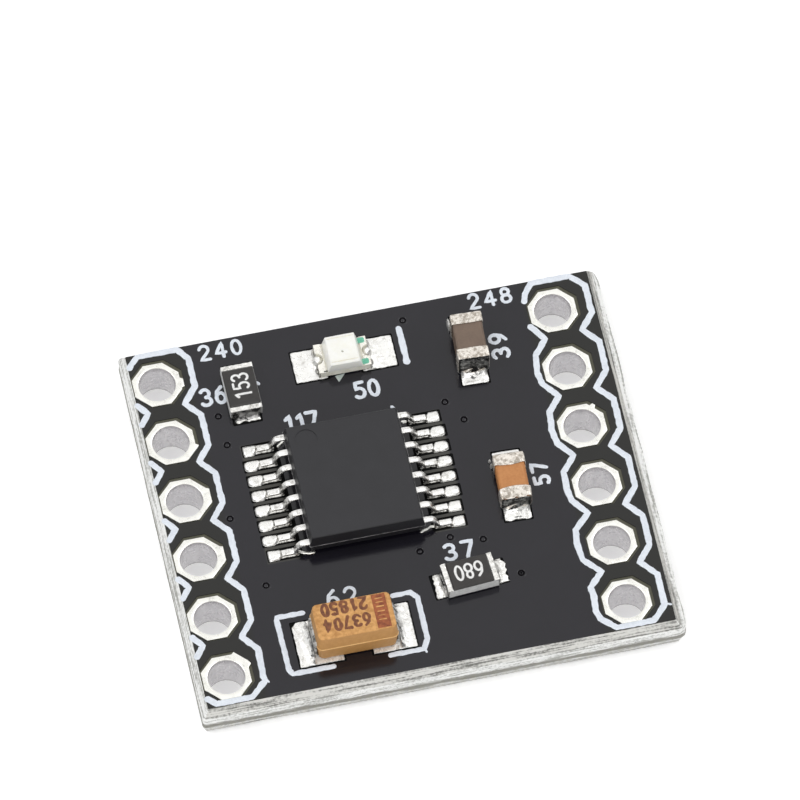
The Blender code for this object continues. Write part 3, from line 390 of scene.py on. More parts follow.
# grey painted highlight on the black case's parting line
CASE_FLASH_HIGHLIGHT = skin_finish("case_flash_painted_highlight", (0.30, 0.29, 0.30), (0.05, 0.05, 0.05), 0.35, 5000, 3000)
CHIP_BLACK = skin_finish("driver_chip_black", (0.0122, 0.0120, 0.0152), (0.0092, 0.0090, 0.0116),
                         0.5, 26000, 1500, 0.35)
BROWN_CERAMIC = skin_finish("brown_ceramic", (0.172, 0.120, 0.087), (0.142, 0.098, 0.071), 0.5,
                            14000, 2500)
ORANGE_CERAMIC = skin_finish("orange_ceramic", (0.54, 0.237, 0.079), (0.465, 0.186, 0.058),
                             0.5, 12000, 2500)
RESISTOR_WHITE = skin_finish("resistor_ceramic", (0.74, 0.745, 0.74), (0.58, 0.585, 0.58), 0.5,
                             12000, 3000)
RESISTOR_BLACK = skin_finish("resistor_glaze", (0.030, 0.027, 0.025), (0.020, 0.018, 0.017),
                             0.3, 12000, 3000, 0.4)
RESISTOR_PRINT = skin_finish("resistor_print", (0.86, 0.86, 0.85), (0.72, 0.72, 0.71), 0.5)
TANTALUM_YELLOW = skin_finish("tantalum_yellow", (0.70, 0.375, 0.128), (0.46, 0.215, 0.058),
                              0.55, 8000, 4600, 0.9, 16)
# painted shade: the tantalum case's upright faces darker than its top
painted_upright_shade(TANTALUM_YELLOW, (0.47, 0.24, 0.074))
TANTALUM_BAND = skin_finish("tantalum_band", (0.40, 0.115, 0.035), (0.20, 0.045, 0.014), 0.55,
                            9000, 5600)
TANTALUM_PRINT = skin_finish("tantalum_print", (0.115, 0.032, 0.012), (0.23, 0.075, 0.024),
                             0.5, 11000, 5000)
# pale painted highlight on the tantalum case's parting ridge
TANTALUM_RIDGE_HIGHLIGHT = skin_finish("tantalum_ridge_painted_highlight", (0.92, 0.64, 0.30), (0.70, 0.40, 0.14), 0.5)
LAMP_DOT = skin_finish("lamp_die_seen", (0.42, 0.42, 0.33), (0.30, 0.30, 0.24), 0.4)
LAMP_CREAM = skin_finish("lamp_base_cream", (0.93, 0.915, 0.82), (0.80, 0.77, 0.65), 0.4,
                         9000, 2500)
LAMP_LENS = skin_finish("lamp_lens", (0.97, 0.965, 0.91), (0.93, 0.92, 0.84), 0.25,
                        6000, 1800, 0.15)
for label, value in (("Weight", 0.4), ("Scale", 0.0004), ("Radius", (1.0, 0.97, 0.85))):
    lens_shader = LAMP_LENS.node_tree.nodes["Principled BSDF"]
    lens_shader.inputs["Subsurface " + label].default_value = value
LAMP_LINE = skin_finish("lamp_lens_line", (0.74, 0.70, 0.57), (0.86, 0.83, 0.70), 0.4)
LAMP_GREEN = skin_finish("lamp_green_mark", (0.20, 0.60, 0.43), (0.12, 0.44, 0.30), 0.4,
                         patches=5000)
LAMP_WEDGE = skin_finish("lamp_wedge_print", (0.50, 0.56, 0.53), (0.36, 0.42, 0.39), 0.5)
LAMP_DIE = skin_finish("lamp_die", (0.12, 0.12, 0.10), (0.07, 0.07, 0.06), 0.4)

CAD_FINISHES = {
    "driver_chip_case": CHIP_BLACK, "tall_ceramic_body": BROWN_CERAMIC,
    "low_ceramic_body": ORANGE_CERAMIC, "_base": RESISTOR_WHITE, "_glaze": RESISTOR_BLACK,
    "ceramic_joint_": END_METAL, "resistor_joint_": RESISTOR_END,
    "tantalum_case": TANTALUM_YELLOW, "tantalum_terminal": TERMINAL_TIN,
    "_land_": BIG_LAND_TIN, "led_base": LAMP_CREAM, "led_lens": LAMP_LENS,
    "led_die": LAMP_DIE, "led_terminal": LAMP_METAL, "driver_chip_lead": LEAD_TIN,
    "plated_hole": LAND_TIN, "circuit_board": MASK_BLACK}


def dress_cad_nodes():
    """A finish for every CAD node, also for those that a finer piece stands for."""
    for name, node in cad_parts.items():
        exact = [key for key in CAD_FINISHES if key == name]
        part = exact or [key for key in CAD_FINISHES if key in name]
        node.data.materials.clear()
        node.data.materials.append(CAD_FINISHES[part[0]])


# ---------------------------------------------------------------- mesh tools

def on_board(x, y):
    """A place given from the middle of the holes, in the part's own frame."""
    return x + GRID_X, y + GRID_Y


def moved(*lines):
    return [[on_board(x, y) for x, y in line] for line in lines]


def box_mm(node):
    return [[value / MM for value in corner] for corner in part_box(node)]


def wave(x, y, z=0.0):
    """A smooth value between -1 and 1 that wanders from place to place."""
    return noise.noise(Vector((x, y, z)))


def grow_loop(bm, loop, points):
    """The next loop of a skin, extruded from the last one and set to its own points."""
    edges = []
    for first, second in zip(loop, loop[1:] + loop[:1]):
        edges.extend(edge for edge in first.link_edges if second in edge.verts)
    grown = bmesh.ops.extrude_edge_only(bm, edges=edges)["geom"]
    fresh = {item for item in grown if isinstance(item, bmesh.types.BMVert)}
    loop = [next(edge.other_vert(vert) for edge in vert.link_edges
                 if edge.other_vert(vert) in fresh) for vert in loop]
    for vert, point in zip(loop, points):
        vert.co = point
    return loop


def skin_over(bm, rings, ends="capped"):
    """A skin through rings of points, with its ends capped, joined, or only the last capped."""
    loop = first = None
    for points in rings:
        if loop:
            loop = grow_loop(bm, loop, points)
            continue
        loop = first = [bm.verts.new(point) for point in points]
        for vert, following in zip(loop, loop[1:] + loop[:1]):
            bm.edges.new((vert, following))
        if ends == "capped":
            bm.faces.new(loop)
    if ends == "joined":
        loop = grow_loop(bm, loop, [vert.co.copy() for vert in first])
        bmesh.ops.remove_doubles(bm, verts=first + loop, dist=0.0001)
    else:
        bm.faces.new(loop)


def paint(bm, choose):
    """A finish for each face, chosen by its middle and its normal."""
    for face in bm.faces:
        face.material_index = int(choose(face.calc_center_median(), face.normal))


def new_mesh(bm, name):
    mesh = bpy.data.meshes.new(name)
    bm.to_mesh(mesh)
    bm.free()
    return mesh


def reopened(mesh):
    bm = bmesh.new()
    bm.from_mesh(mesh)
    return bm


def new_object(name, data):
    item = bpy.data.objects.new(name, data)
    bpy.context.scene.collection.objects.link(item)
    return item


def add_piece(name, bm, slot, *finishes, smooth=0, replaced=(), open_skin=False):
    """A piece of the module in metres, with its faces outwards, riding on its only body."""
    if open_skin:
        for face in bm.faces:
            if face.normal.z < 0:
                face.normal_flip()
    else:
        bmesh.ops.recalc_face_normals(bm, faces=bm.faces[:])
        if bm.calc_volume(signed=True) < 0:
            bmesh.ops.reverse_faces(bm, faces=bm.faces[:])
    bmesh.ops.transform(bm, matrix=Matrix.Scale(MM, 4), verts=bm.verts[:])
    mesh = new_mesh(bm, name)
    if smooth:
        mesh.shade_smooth()
        mesh.set_sharp_from_angle(angle=math.radians(smooth))
    item = new_object(name, mesh)
    for finish in finishes:
        mesh.materials.append(finish)
    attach(item, "root")
    if replaced:
        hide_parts(*replaced)


def evaluated(data, name, *modifiers):
    """A mesh after modifiers, each a kind and its settings, or the mesh of a curve."""
    carrier = new_object(name, data)
    for kind, settings in modifiers:
        modifier = carrier.modifiers.new(kind.lower(), kind)
        for label, value in settings.items():
            setattr(modifier, label, value)
    depsgraph = bpy.context.evaluated_depsgraph_get()
    result = bpy.data.meshes.new_from_object(carrier.evaluated_get(depsgraph))
    bpy.data.objects.remove(carrier)
    return result


def from_cad(node):
    """A merged copy of a CAD node's mesh, in millimetres."""
    bm = reopened(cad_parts[node].data)
    bmesh.ops.transform(bm, matrix=Matrix.Scale(1 / MM, 4), verts=bm.verts[:])
    bmesh.ops.remove_doubles(bm, verts=bm.verts[:], dist=0.0005)
    bmesh.ops.dissolve_limit(bm, angle_limit=math.radians(0.5), verts=bm.verts[:],
                             edges=bm.edges[:])
    return bm


def cut_by(bm, name, cutter):
    """One bmesh with another taken out of it, both in millimetres."""
    meshes = []
    for part, label in ((bm, name), (cutter, name + "_cutter")):
        bmesh.ops.recalc_face_normals(part, faces=part.faces[:])
        meshes.append(new_mesh(part, label))
    tool = new_object(name + "_cutter", meshes[1])
    settings = {"operation": "DIFFERENCE", "object": tool, "solver": "EXACT"}
    result = evaluated(meshes[0], name, ("BOOLEAN", settings))
    bpy.data.objects.remove(tool)
    return reopened(result)


def upright_prism(bm, points, bottom, top):
    """An outline on the board's face, extruded upwards."""
    face = bm.faces.new([bm.verts.new((x, y, bottom)) for x, y in points])
    grown = bmesh.ops.extrude_face_region(bm, geom=[face])["geom"]
    lifted = [item for item in grown if isinstance(item, bmesh.types.BMVert)]
    bmesh.ops.translate(bm, verts=lifted, vec=(0, 0, top - bottom))


def ring(x, y, radius, sides, start=0.0):
    angles = [start + 2 * math.pi / sides * step for step in range(sides)]
    return [(x + radius * math.cos(angle), y + radius * math.sin(angle)) for angle in angles]


def turned(x, y, u, v, degrees):
    """The place that lies u and v from x and y, once turned about them."""
    spin = math.radians(degrees)
    return (x + u * math.cos(spin) - v * math.sin(spin),
            y + u * math.sin(spin) + v * math.cos(spin))


def rounded_box(x, y, length, width, turn, corner=0.05, steps=3):
    """Points round a turned rectangle with rounded corners."""
    points = []
    for number, (side_x, side_y) in enumerate(((1, 1), (-1, 1), (-1, -1), (1, -1))):
        for step in range(steps + 1):
            angle = math.pi / 2 * (number + step / steps)
            points.append(turned(
                x, y, side_x * (length / 2 - corner) + corner * math.cos(angle),
                side_y * (width / 2 - corner) + corner * math.sin(angle), turn))
    return points


# ---------------------------------------------------------------- board

PART_WINDOWS = (
    (3.885, 6.259, 0.92, 1.04, 87.5), (3.795, 4.181, 0.92, 1.04, 87.5),
    (4.192, 0.239, 0.92, 1.04, 87.7), (4.108, -1.839, 0.92, 1.04, 87.7),
    (-4.95, 6.08, 0.68, 1.04, 90.0), (-4.95, 4.24, 0.68, 1.04, 90.0),
    (2.727, -4.28, 0.82, 1.0, 4.0), (0.757, -4.42, 0.83, 1.0, 4.0),
    (-1.58, -5.76, 1.7, 1.92, 0.0), (-4.34, -5.76, 1.7, 1.92, 0.0),
    (0.39, 5.81, 1.36, 1.36, 0.0), (-2.195, 5.81, 1.25, 1.36, 0.0))
VIAS = ((-5.64, 4.55), (-5.57, 3.28), (-6.11, 0.18), (-5.38, -2.87), (2.0, 7.14),
        (2.81, 3.37), (3.35, 2.49), (1.77, -2.31), (0.53, -2.66), (2.96, -2.65),
        (4.04, -4.35))
VIA_WINDOW = 0.145
VIA_PROFILE = ((0.20, -0.001), (0.18, 0.003), (0.155, 0.003), (0.135, -0.004),
               (0.12, -0.028), (0.09, -0.028), (0.07, -0.012), (0.04, -0.006))
TRACES = {0: (-19.0, -15.0, 4.0, 8.0), 1: (-67.5, -60.0, -17.0, -9.0),
          2: (-22.5, -15.0, 18.0, 25.0), 3: (-22.5, -14.0, 19.0, 25.0),
          5: (9.0, 20.0, 64.0, 67.5), 8: (46.0, 49.0, 56.0, 67.5)}


def score_inset(z):
    """How far the V-scored edge stands back from the board's widest outline."""
    run = SCORE_RUN if z > BOARD_TOP / 2 else SCORE_RUN_BELOW
    return run * max(0.0, 1 - min(z, BOARD_TOP - z) / SCORE_DEPTH)


def board_outline(inset, spacing, corner):
    """Points round the board, as many for any inset."""
    arcs = []
    for number, (side_x, side_y) in enumerate(((1, 1), (-1, 1), (-1, -1), (1, -1))):
        x = side_x * (BOARD_LENGTH / 2 - inset - corner)
        y = side_y * (BOARD_WIDTH / 2 - inset - corner)
        angles = [math.pi / 2 * (number + step / 6) for step in range(7)]
        arcs.append([Vector((x + corner * math.cos(angle), y + corner * math.sin(angle)))
                     for angle in angles])
    points = []
    for number, corner_points in enumerate(arcs):
        points.extend(corner_points)
        following = arcs[(number + 1) % 4][0]
        cuts = int((BOARD_WIDTH if number % 2 else BOARD_LENGTH) / spacing)
        points.extend(corner_points[-1].lerp(following, step / cuts) for step in range(1, cuts))
    return points


def snapped_tongue(point, z):
    """How far the snapped web stands out on the right, fading towards the corners."""
    if point.x < BOARD_LENGTH / 2 - 0.5:
        return 0.0
    fade = 0.5 if point.y > 0 else 0.3
    inside = min(1.0, max(0.0, (BOARD_WIDTH / 2 - 0.04 - abs(point.y)) / fade))
    web = min(1.0, max(0.0, (0.44 - abs(z - BOARD_TOP / 2)) / 0.12))
    ragged = 1 + 0.22 * wave(point.y * 0.9, 4.0, z)
    return SNAP_REACH * ragged * inside ** 0.5 * web


def edge_point(point, z):
    """A point of the board's edge, roughened by the saw or by the snap."""
    outward = Vector((math.copysign(1, point.x) if abs(point.x) > BOARD_LENGTH / 2 - 0.5 else 0,
                      math.copysign(1, point.y) if abs(point.y) > BOARD_WIDTH / 2 - 0.5 else 0))
    web = max(0.0, 1 - abs(z - BOARD_TOP / 2) / 0.36)
    tear = wave(point.x * 1.3, point.y * 1.3, z * 7 + 3)
    fine = wave(point.x * 5.1, point.y * 5.1, z * 16)
    streak = wave(point.x * 0.5, point.y * 0.5, z * 34)
    back = 0.012 + 0.010 * streak + web * (0.035 + 0.045 * tear + 0.03 * fine)
    return point - outward * max(0.0, back) + Vector((snapped_tongue(point, z), 0))


def core_rings():
    """Rings of the laminate's edge, with sharper corners towards the board's faces."""
    for z in CORE_LEVELS:
        deep = min(1.0, min(z, BOARD_TOP - z) / SCORE_DEPTH)
        corner = TOP_CORNER + (BOARD_CORNER - TOP_CORNER) * deep
        yield [(*edge_point(point, z), z) for point in board_outline(score_inset(z), 0.12, corner)]


def hole_centres():
    """Centres of the plated holes in the part's own frame, left column first."""
    for side in (-1, 1):
        for row in range(6):
            yield on_board(side * COLUMN_SPACING / 2, (2.5 - row) * HOLE_PITCH)


def make_board_core():
    """The laminate: a V-scored and snapped edge with torn fibres, drilled through."""
    bm = bmesh.new()
    skin_over(bm, core_rings())
    drill = bmesh.new()
    for x, y in hole_centres():
        bmesh.ops.create_cone(drill, cap_ends=True, segments=48, radius1=BARREL / 2 + 0.01,
                              radius2=BARREL / 2 + 0.01, depth=4,
                              matrix=Matrix.Translation((x, y, 0)))
    core = cut_by(bm, "board_core", drill)
    for side in (-1, 1):
        bmesh.ops.bisect_plane(core, geom=core.verts[:] + core.edges[:] + core.faces[:],
                               plane_co=(side * PARTS_REACH, 0, 0), plane_no=(1, 0, 0))
    core.normal_update()
    # painted shade: the laminate's top among the parts takes the near-black second finish
    paint(core, lambda middle, normal: normal.z > 0.95 and middle.z > LAMINATE_TOP - 0.01
          and abs(middle.x) < PARTS_REACH)
    add_piece("board_core", core, "solder_mask", LAMINATE, WINDOW_PAINTED_SHADE, smooth=40.0,
              replaced=["circuit_board"])


def window_outlines(upper):
    """The mask's windows and, on the upper face only, those of the parts and small holes."""
    shift_x, shift_y = WINDOW_SHIFT
    radius = (HOLE_LAND / 2 + WINDOW_MARGIN) / math.cos(math.pi / 8)
    for x, y in hole_centres():
        yield ring(x + shift_x, y + shift_y, radius, 8, math.pi / 8)
    if not upper:
        return
    for x, y, length, width, turn in PART_WINDOWS:
        yield rounded_box(x, y, length + 2 * PART_MARGIN, width + 2 * PART_MARGIN, turn)
    for number, row_y, way in lead_places():
        end = SQUARE_WINDOW_END if number in SQUARE_LANDS else LEAD_WINDOW_END
        yield rounded_box(CHIP_PLACE[0] + way * (LEAD_WINDOW_START + end) / 2 + shift_x / 2,
                          row_y + shift_y / 2, end - LEAD_WINDOW_START + 0.1, LEAD_WINDOW, 0.0)
    for place in VIAS:
        yield ring(*on_board(*place), VIA_WINDOW, 24)


def make_masks():
    """Solder mask on both faces, with a window for every land."""
    for name, bottom, top in (("upper_mask", LAMINATE_TOP, BOARD_TOP), ("lower_mask", 0.0, MASK)):
        points = []
        for point in board_outline(SCORE_RUN, 0.25, TOP_CORNER):
            wander = abs(0.006 * wave(point.x * 3, point.y * 3))
            points.append((point.x * (1 - wander / 9), point.y * (1 - wander / 8)))
        bm = bmesh.new()
        upright_prism(bm, points, bottom, top)
        cutter = bmesh.new()
        for outline in window_outlines(name == "upper_mask"):
            upright_prism(cutter, outline, bottom - 0.3, top + 0.3)
        add_piece(name, cut_by(bm, name, cutter), "solder_mask", MASK_BLACK,
                  replaced=["circuit_board"])


def land_reach(angle):
    """How far out an eight-sided land lies, with flats towards +X and +Y."""
    step = math.pi / 4
    return HOLE_LAND / 2 / math.cos((angle + step / 2) % step - step / 2)


def window_reach(angle):
    """How far out the edge of a hole's mask window lies, from the hole's own centre."""
    ways = []
    for number in range(8):
        flat = math.pi / 4 * number
        slant = math.cos(angle - flat)
        if slant > 0:
            shift = WINDOW_SHIFT[0] * math.cos(flat) + WINDOW_SHIFT[1] * math.sin(flat)
            ways.append((HOLE_LAND / 2 + WINDOW_MARGIN + shift - 0.01) / slant)
    return min(ways)


def hole_rings(number, x, y):
    """Rings up the barrel, out over the tin and its bare trace, and down the land's side."""
    sides = [math.radians(angle) for angle in TRACES.get(number, ())]
    angles = [side % (2 * math.pi) for side in sides]
    angles = sorted(angles + [math.pi / 24 * step for step in range(48) if all(
        abs(math.pi / 24 * step - angle) > 0.02 for angle in angles)])
    bore = BORE / 2
    top = HOLE_TOP
    # Each ring: height, radius, share of the way from there to the rim, and what is added.
    for z, radius, share, extra in (
            (0.0, bore + 0.03, 0, 0), (0.03, bore, 0, 0), (0.4, bore, 0, 0), (0.8, bore, 0, 0),
            (1.2, bore, 0, 0), (top - 0.03, bore, 0, 0), (top - 0.009, bore + 0.009, 0, 0),
            (top, bore + 0.03, 0, 0), (top, bore + 0.03, 0.45, 0), (top, 0, 1, -0.035),
            (top - 0.01, 0, 1, -0.01), (top - 0.035, 0, 1, 0), (SEAT, 0, 1, 0),
            (SEAT, BARREL / 2, 0, 0), (MASK, BARREL / 2, 0, 0), (MASK, 0, 1, 0), (0.0, 0, 1, 0)):
        points = []
        for angle in angles:
            traced = z > MASK and sides and (
                (angle - sides[1] + 0.005) % (2 * math.pi) < sides[2] - sides[1] + 0.01)
            rim = window_reach(angle) if traced else land_reach(angle)
            reach = radius + share * (rim - radius) + extra
            flat_x = x + reach * math.cos(angle)
            flat_y = y + reach * math.sin(angle)
            low = 0.006 + 0.006 * wave(flat_x * 3, flat_y * 3) if share and z == top else 0.0
            points.append((flat_x, flat_y, z - low))
        yield points


def make_plated_holes():
    """Eight-sided lands with slightly wavy tin, on a smooth barrel."""
    for number, (x, y) in enumerate(hole_centres()):
        bm = bmesh.new()
        skin_over(bm, hole_rings(number, x, y), "joined")
        paint(bm, lambda middle, normal: middle.z < HOLE_TOP - 0.02
              and math.hypot(middle.x - x, middle.y - y) < BORE / 2 + 0.012)
        side = "left" if number < 6 else "right"
        add_piece(f"{side}_hole_tin_{number % 6 + 1}", bm, "tinned_copper", LAND_TIN, BARREL_TIN,
                  smooth=35.0, replaced=[f"plated_hole_{side}_{number % 6 + 1}"])


def make_vias():
    """Small plated-through dimples that the mask covers, with painted shade in their hollows."""
    bm = bmesh.new()
    places = [on_board(*place) for place in VIAS]
    for place in places:
        skin_over(bm, [[(*point, BOARD_TOP + z) for point in ring(*place, radius, 24)]
                       for radius, z in VIA_PROFILE], "last")
    # painted shade: the walls of each via's hollow take the near-black second finish
    paint(bm, lambda middle, normal: 0.072 < min(
        (middle.xy - Vector(place)).length for place in places) < 0.136)
    add_piece("vias", bm, "solder_mask", MASK_BLACK, VIA_PAINTED_SHADE, smooth=180.0, open_skin=True)


# ---------------------------------------------------------------- white print

def densified(points, spacing=0.1):
    """The same line with points close enough to waver between."""
    result = []
    for first, second in zip(points, points[1:]):
        first, second = Vector(first), Vector(second)
        steps = max(1, round((second - first).length / spacing))
        result.extend(first.lerp(second, step / steps) for step in range(steps))
    result.append(Vector(points[-1]))
    return result


def ink_lines(name, lines, width, finish, slot, plane, rise=0.012, waver=0.22):
    """Printed strokes: a rounded line along each path, pressed flat on its surface."""
    curve = bpy.data.curves.new(name, "CURVE")
    curve.dimensions = "3D"
    curve.bevel_depth = width / 2
    curve.bevel_resolution = 3
    curve.use_fill_caps = True
    caps = [(width * share, math.sqrt(max(0.02, 1 - (2 * share) ** 2)))
            for share in (0.5, 0.38, 0.15)]
    sway = 0.35 * waver * width
    for line in lines:
        points = densified(line)
        path = [(point, 1.0) for point in points]
        spline = curve.splines.new("POLY")
        spline.use_cyclic_u = (points[0] - points[-1]).length < 1e-6
        if spline.use_cyclic_u:
            path.pop()
        else:
            ahead = (points[0] - points[1]).normalized()
            astern = (points[-1] - points[-2]).normalized()
            path = ([(points[0] + ahead * reach, slim) for reach, slim in caps] + path
                    + [(points[-1] + astern * reach, slim) for reach, slim in reversed(caps)])
        spline.points.add(len(path) - 1)
        for target, (point, radius) in zip(spline.points, path):
            x, y = point.x, point.y
            target.co = (x + sway * wave(x * 5, y * 5, 7), y + sway * wave(x * 5, y * 5, 3), 0, 1)
            target.radius = radius * (1 + waver * wave(x * 6, y * 6, width))
    bm = reopened(evaluated(curve, name))
    press = Matrix.Translation((0, 0, plane)) @ Matrix.Diagonal((1, 1, 2 * rise / width, 1))
    bmesh.ops.transform(bm, matrix=press, verts=bm.verts[:])
    add_piece(name, bm, slot, finish, smooth=60.0)


def arc(x, y, across, up, start, stop, steps=9):
    """Points along part of an ellipse."""
    angles = [math.radians(start + (stop - start) * step / steps) for step in range(steps + 1)]
    return [(x + across * math.cos(angle), y + up * math.sin(angle)) for angle in angles]


NUMERALS = {
    "0": [arc(0.3, 0.5, 0.26, 0.5, 90, 450, 16)],
    "1": [[(0.12, 0.80), (0.34, 1.0), (0.34, 0.0)]],
    "2": [arc(0.3, 0.72, 0.26, 0.28, 165, -35) + [(0.04, 0.0), (0.58, 0.0)]],
    "3": [arc(0.27, 0.75, 0.25, 0.25, 150, -85), arc(0.27, 0.26, 0.29, 0.26, 85, -150)],
    "4": [[(0.44, 0.0), (0.44, 1.0), (0.02, 0.3), (0.6, 0.3)]],
    "5": [[(0.54, 1.0), (0.12, 1.0), (0.09, 0.58)] + arc(0.28, 0.33, 0.28, 0.31, 115, -140)],
    "6": [arc(0.3, 0.31, 0.26, 0.31, 150, 510, 14), [(0.05, 0.38), (0.14, 0.75), (0.42, 1.0)]],
    "7": [[(0.02, 1.0), (0.56, 1.0), (0.2, 0.0)]],
    "8": [arc(0.3, 0.76, 0.22, 0.24, 90, 450, 12), arc(0.3, 0.27, 0.27, 0.27, 90, 450, 12)],
    "9": [arc(0.3, 0.69, 0.26, 0.31, -30, 330, 14), [(0.55, 0.62), (0.46, 0.25), (0.18, 0.0)]]}


def numbers(*wanted):
    """Strokes of plain numbers: text, lower left corner, height, turn, pitch and width."""
    lines = []
    for text, x, y, height, turn, pitch, squeeze in wanted:
        for index, numeral in enumerate(text):
            for line in NUMERALS[numeral]:
                lines.append([on_board(*turned(x, y, (u + index * pitch) * height * squeeze,
                                               v * height, turn)) for u, v in line])
    return lines


def left_column_print():
    """The outline round the left column of holes, necked in between them."""
    inner = [(-8.5, 7.28), (-8.12, 7.69), (-6.58, 7.69), (-6.24, 7.22), (-6.24, 6.02)]
    notches = []
    for row in range(5):
        y = 5.3 - row * HOLE_PITCH
        shift = 0.008 * row
        inner += [(-6.26 + shift, y + 0.68), (-6.76 + shift, y + 0.05), (-6.26 + shift, y - 0.55)]
        y = 5.21 - row * HOLE_PITCH + 0.02 * row
        notches.append([(-8.52, y + 0.42), (-8.2, y), (-8.52, y - 0.42)])
    inner += [(-6.27, -6.6), (-6.24, -6.78), (-6.84, -7.36), (-8.2, -7.36), (-8.5, -7.08)]
    return moved(inner, *notches)


def right_column_print():
    """The outline round the right column of holes."""
    outer = [(6.66, 6.98), (6.76, 7.28), (7.06, 7.69), (8.56, 7.69), (9.05, 7.18)]
    for row in range(5):
        y = 5.3 - row * HOLE_PITCH
        back = 0.016 * row
        outer += [(9.05 - back, y + 0.68), (8.52 - back, y + 0.02), (9.05 - back, y - 0.6)]
    outer += [(8.97, -6.78), (8.44, -7.35), (7.02, -7.35), (6.5, -6.86), (6.4, -6.5),
              (6.47, -5.9), (6.42, -5.5), (6.98, -4.93), (6.4, -4.3), (6.34, -3.55),
              (6.42, -3.0), (7.02, -2.4), (6.55, -1.75), (6.47, -1.2), (6.52, -0.5),
              (7.05, 0.12), (6.55, 0.75), (6.47, 1.35), (6.56, 2.12), (7.05, 2.72),
              (6.56, 3.35), (6.47, 3.85), (6.58, 4.6), (7.08, 5.22), (6.66, 5.86)]
    return moved(outer)


def make_board_print():
    """White outlines, plain numbers and marks on the upper mask."""
    for name, width, lines in (
            ("left_column_outline", 0.235, left_column_print()),
            ("right_column_outline", 0.235, right_column_print()),
            ("tantalum_outline", 0.205, moved(
                [(-4.3, -4.29), (-5.26, -4.29), (-5.3, -4.4), (-5.28, -6.55), (-5.16, -6.73),
                 (-3.62, -6.73)],
                [(-0.85, -4.29), (-0.2, -4.28), (0.03, -4.54), (0.03, -6.32), (-0.2, -6.72),
                 (-1.45, -6.72)])),
            ("print_spurs", 0.09, moved(
                [(-6.22, -6.68), (-6.12, -6.86)], [(8.98, -6.72), (9.2, -6.82)],
                [(-0.16, -6.7), (-0.12, -6.86)])),
            ("lamp_bar", 0.24, moved([(1.78, 6.82), (1.78, 5.36)])),
            ("column_numbers", 0.125, numbers(
                ("240", -5.8, 7.03, 0.6, 0, 0.95, 1.08), ("248", 4.6, 7.08, 0.6, 0, 0.95, 1.08))),
            ("part_numbers", 0.145, numbers(
                ("36", -6.12, 5.1, 0.68, 0, 0.85, 0.95), ("50", -0.42, 4.2, 0.66, 0, 0.82, 1.0),
                ("37", 1.42, -3.25, 0.64, 0, 0.95, 1.12), ("39", 5.62, 4.78, 0.6, 90, 0.95, 1.12),
                ("57", 5.93, -0.85, 0.56, 90, 0.95, 1.08),
                ("117", -3.3, 3.28, 0.72, 0, 0.6, 1.0))),
            ("tantalum_number", 0.125, numbers(("62", -3.3, -4.35, 0.75, 0, 0.9, 1.0))),
            ("chip_dot", 0.13, moved([(0.82, 3.58), (0.87, 3.5)],
                                     [(-3.93, 5.66), (-3.88, 5.6)]))):
        ink_lines(name, lines, width, PRINT_WHITE, "tinned_copper", BOARD_TOP)


# ---------------------------------------------------------------- driver chip

LEAD_PATH = ((2.07, 0.620), (2.20, 0.622), (2.34, 0.618), (2.46, 0.598), (2.545, 0.545),
             (2.60, 0.46), (2.645, 0.355), (2.69, 0.245), (2.735, 0.17), (2.80, 0.136),
             (2.88, 0.126), (3.06, 0.123), (3.18, 0.122), (3.235, 0.119))


def lead_places():
    """Number, middle of the row and way out for each lead, counted from the mark."""
    for number in range(1, 17):
        left = number <= 8
        row = number - 1 if left else 16 - number
        yield number, CHIP_PLACE[1] + LEAD_PITCH * (3.5 - row), -1 if left else 1


def strip_rings(number, row_y, way):
    """Rings of a lead's bent strip: an eight-sided section swept along its path."""
    corner = 0.028
    wide = LEAD_WIDTH / 2
    thick = LEAD_THICKNESS / 2
    section = ((wide - corner, thick), (wide, thick - corner), (wide, corner - thick),
               (wide - corner, -thick), (corner - wide, -thick), (-wide, corner - thick),
               (-wide, thick - corner), (corner - wide, thick))
    for index, (u, z) in enumerate(LEAD_PATH):
        before = Vector(LEAD_PATH[max(index - 1, 0)])
        after = Vector(LEAD_PATH[min(index + 1, len(LEAD_PATH) - 1)])
        along = (after - before).normalized()
        sway = 0.012 * wave(u * 1.7, number * 3.1)
        broad = 1 + 0.06 * wave(u * 4, number * 5.3, 2)
        points = []
        for across, up in section:
            up += 0.008 * wave(u * 6, across * 6, number * 2.3)
            points.append((CHIP_PLACE[0] + way * (u - along.y * up),
                           row_y + way * (across * broad + sway), SEAT + z + along.x * up))
        yield points


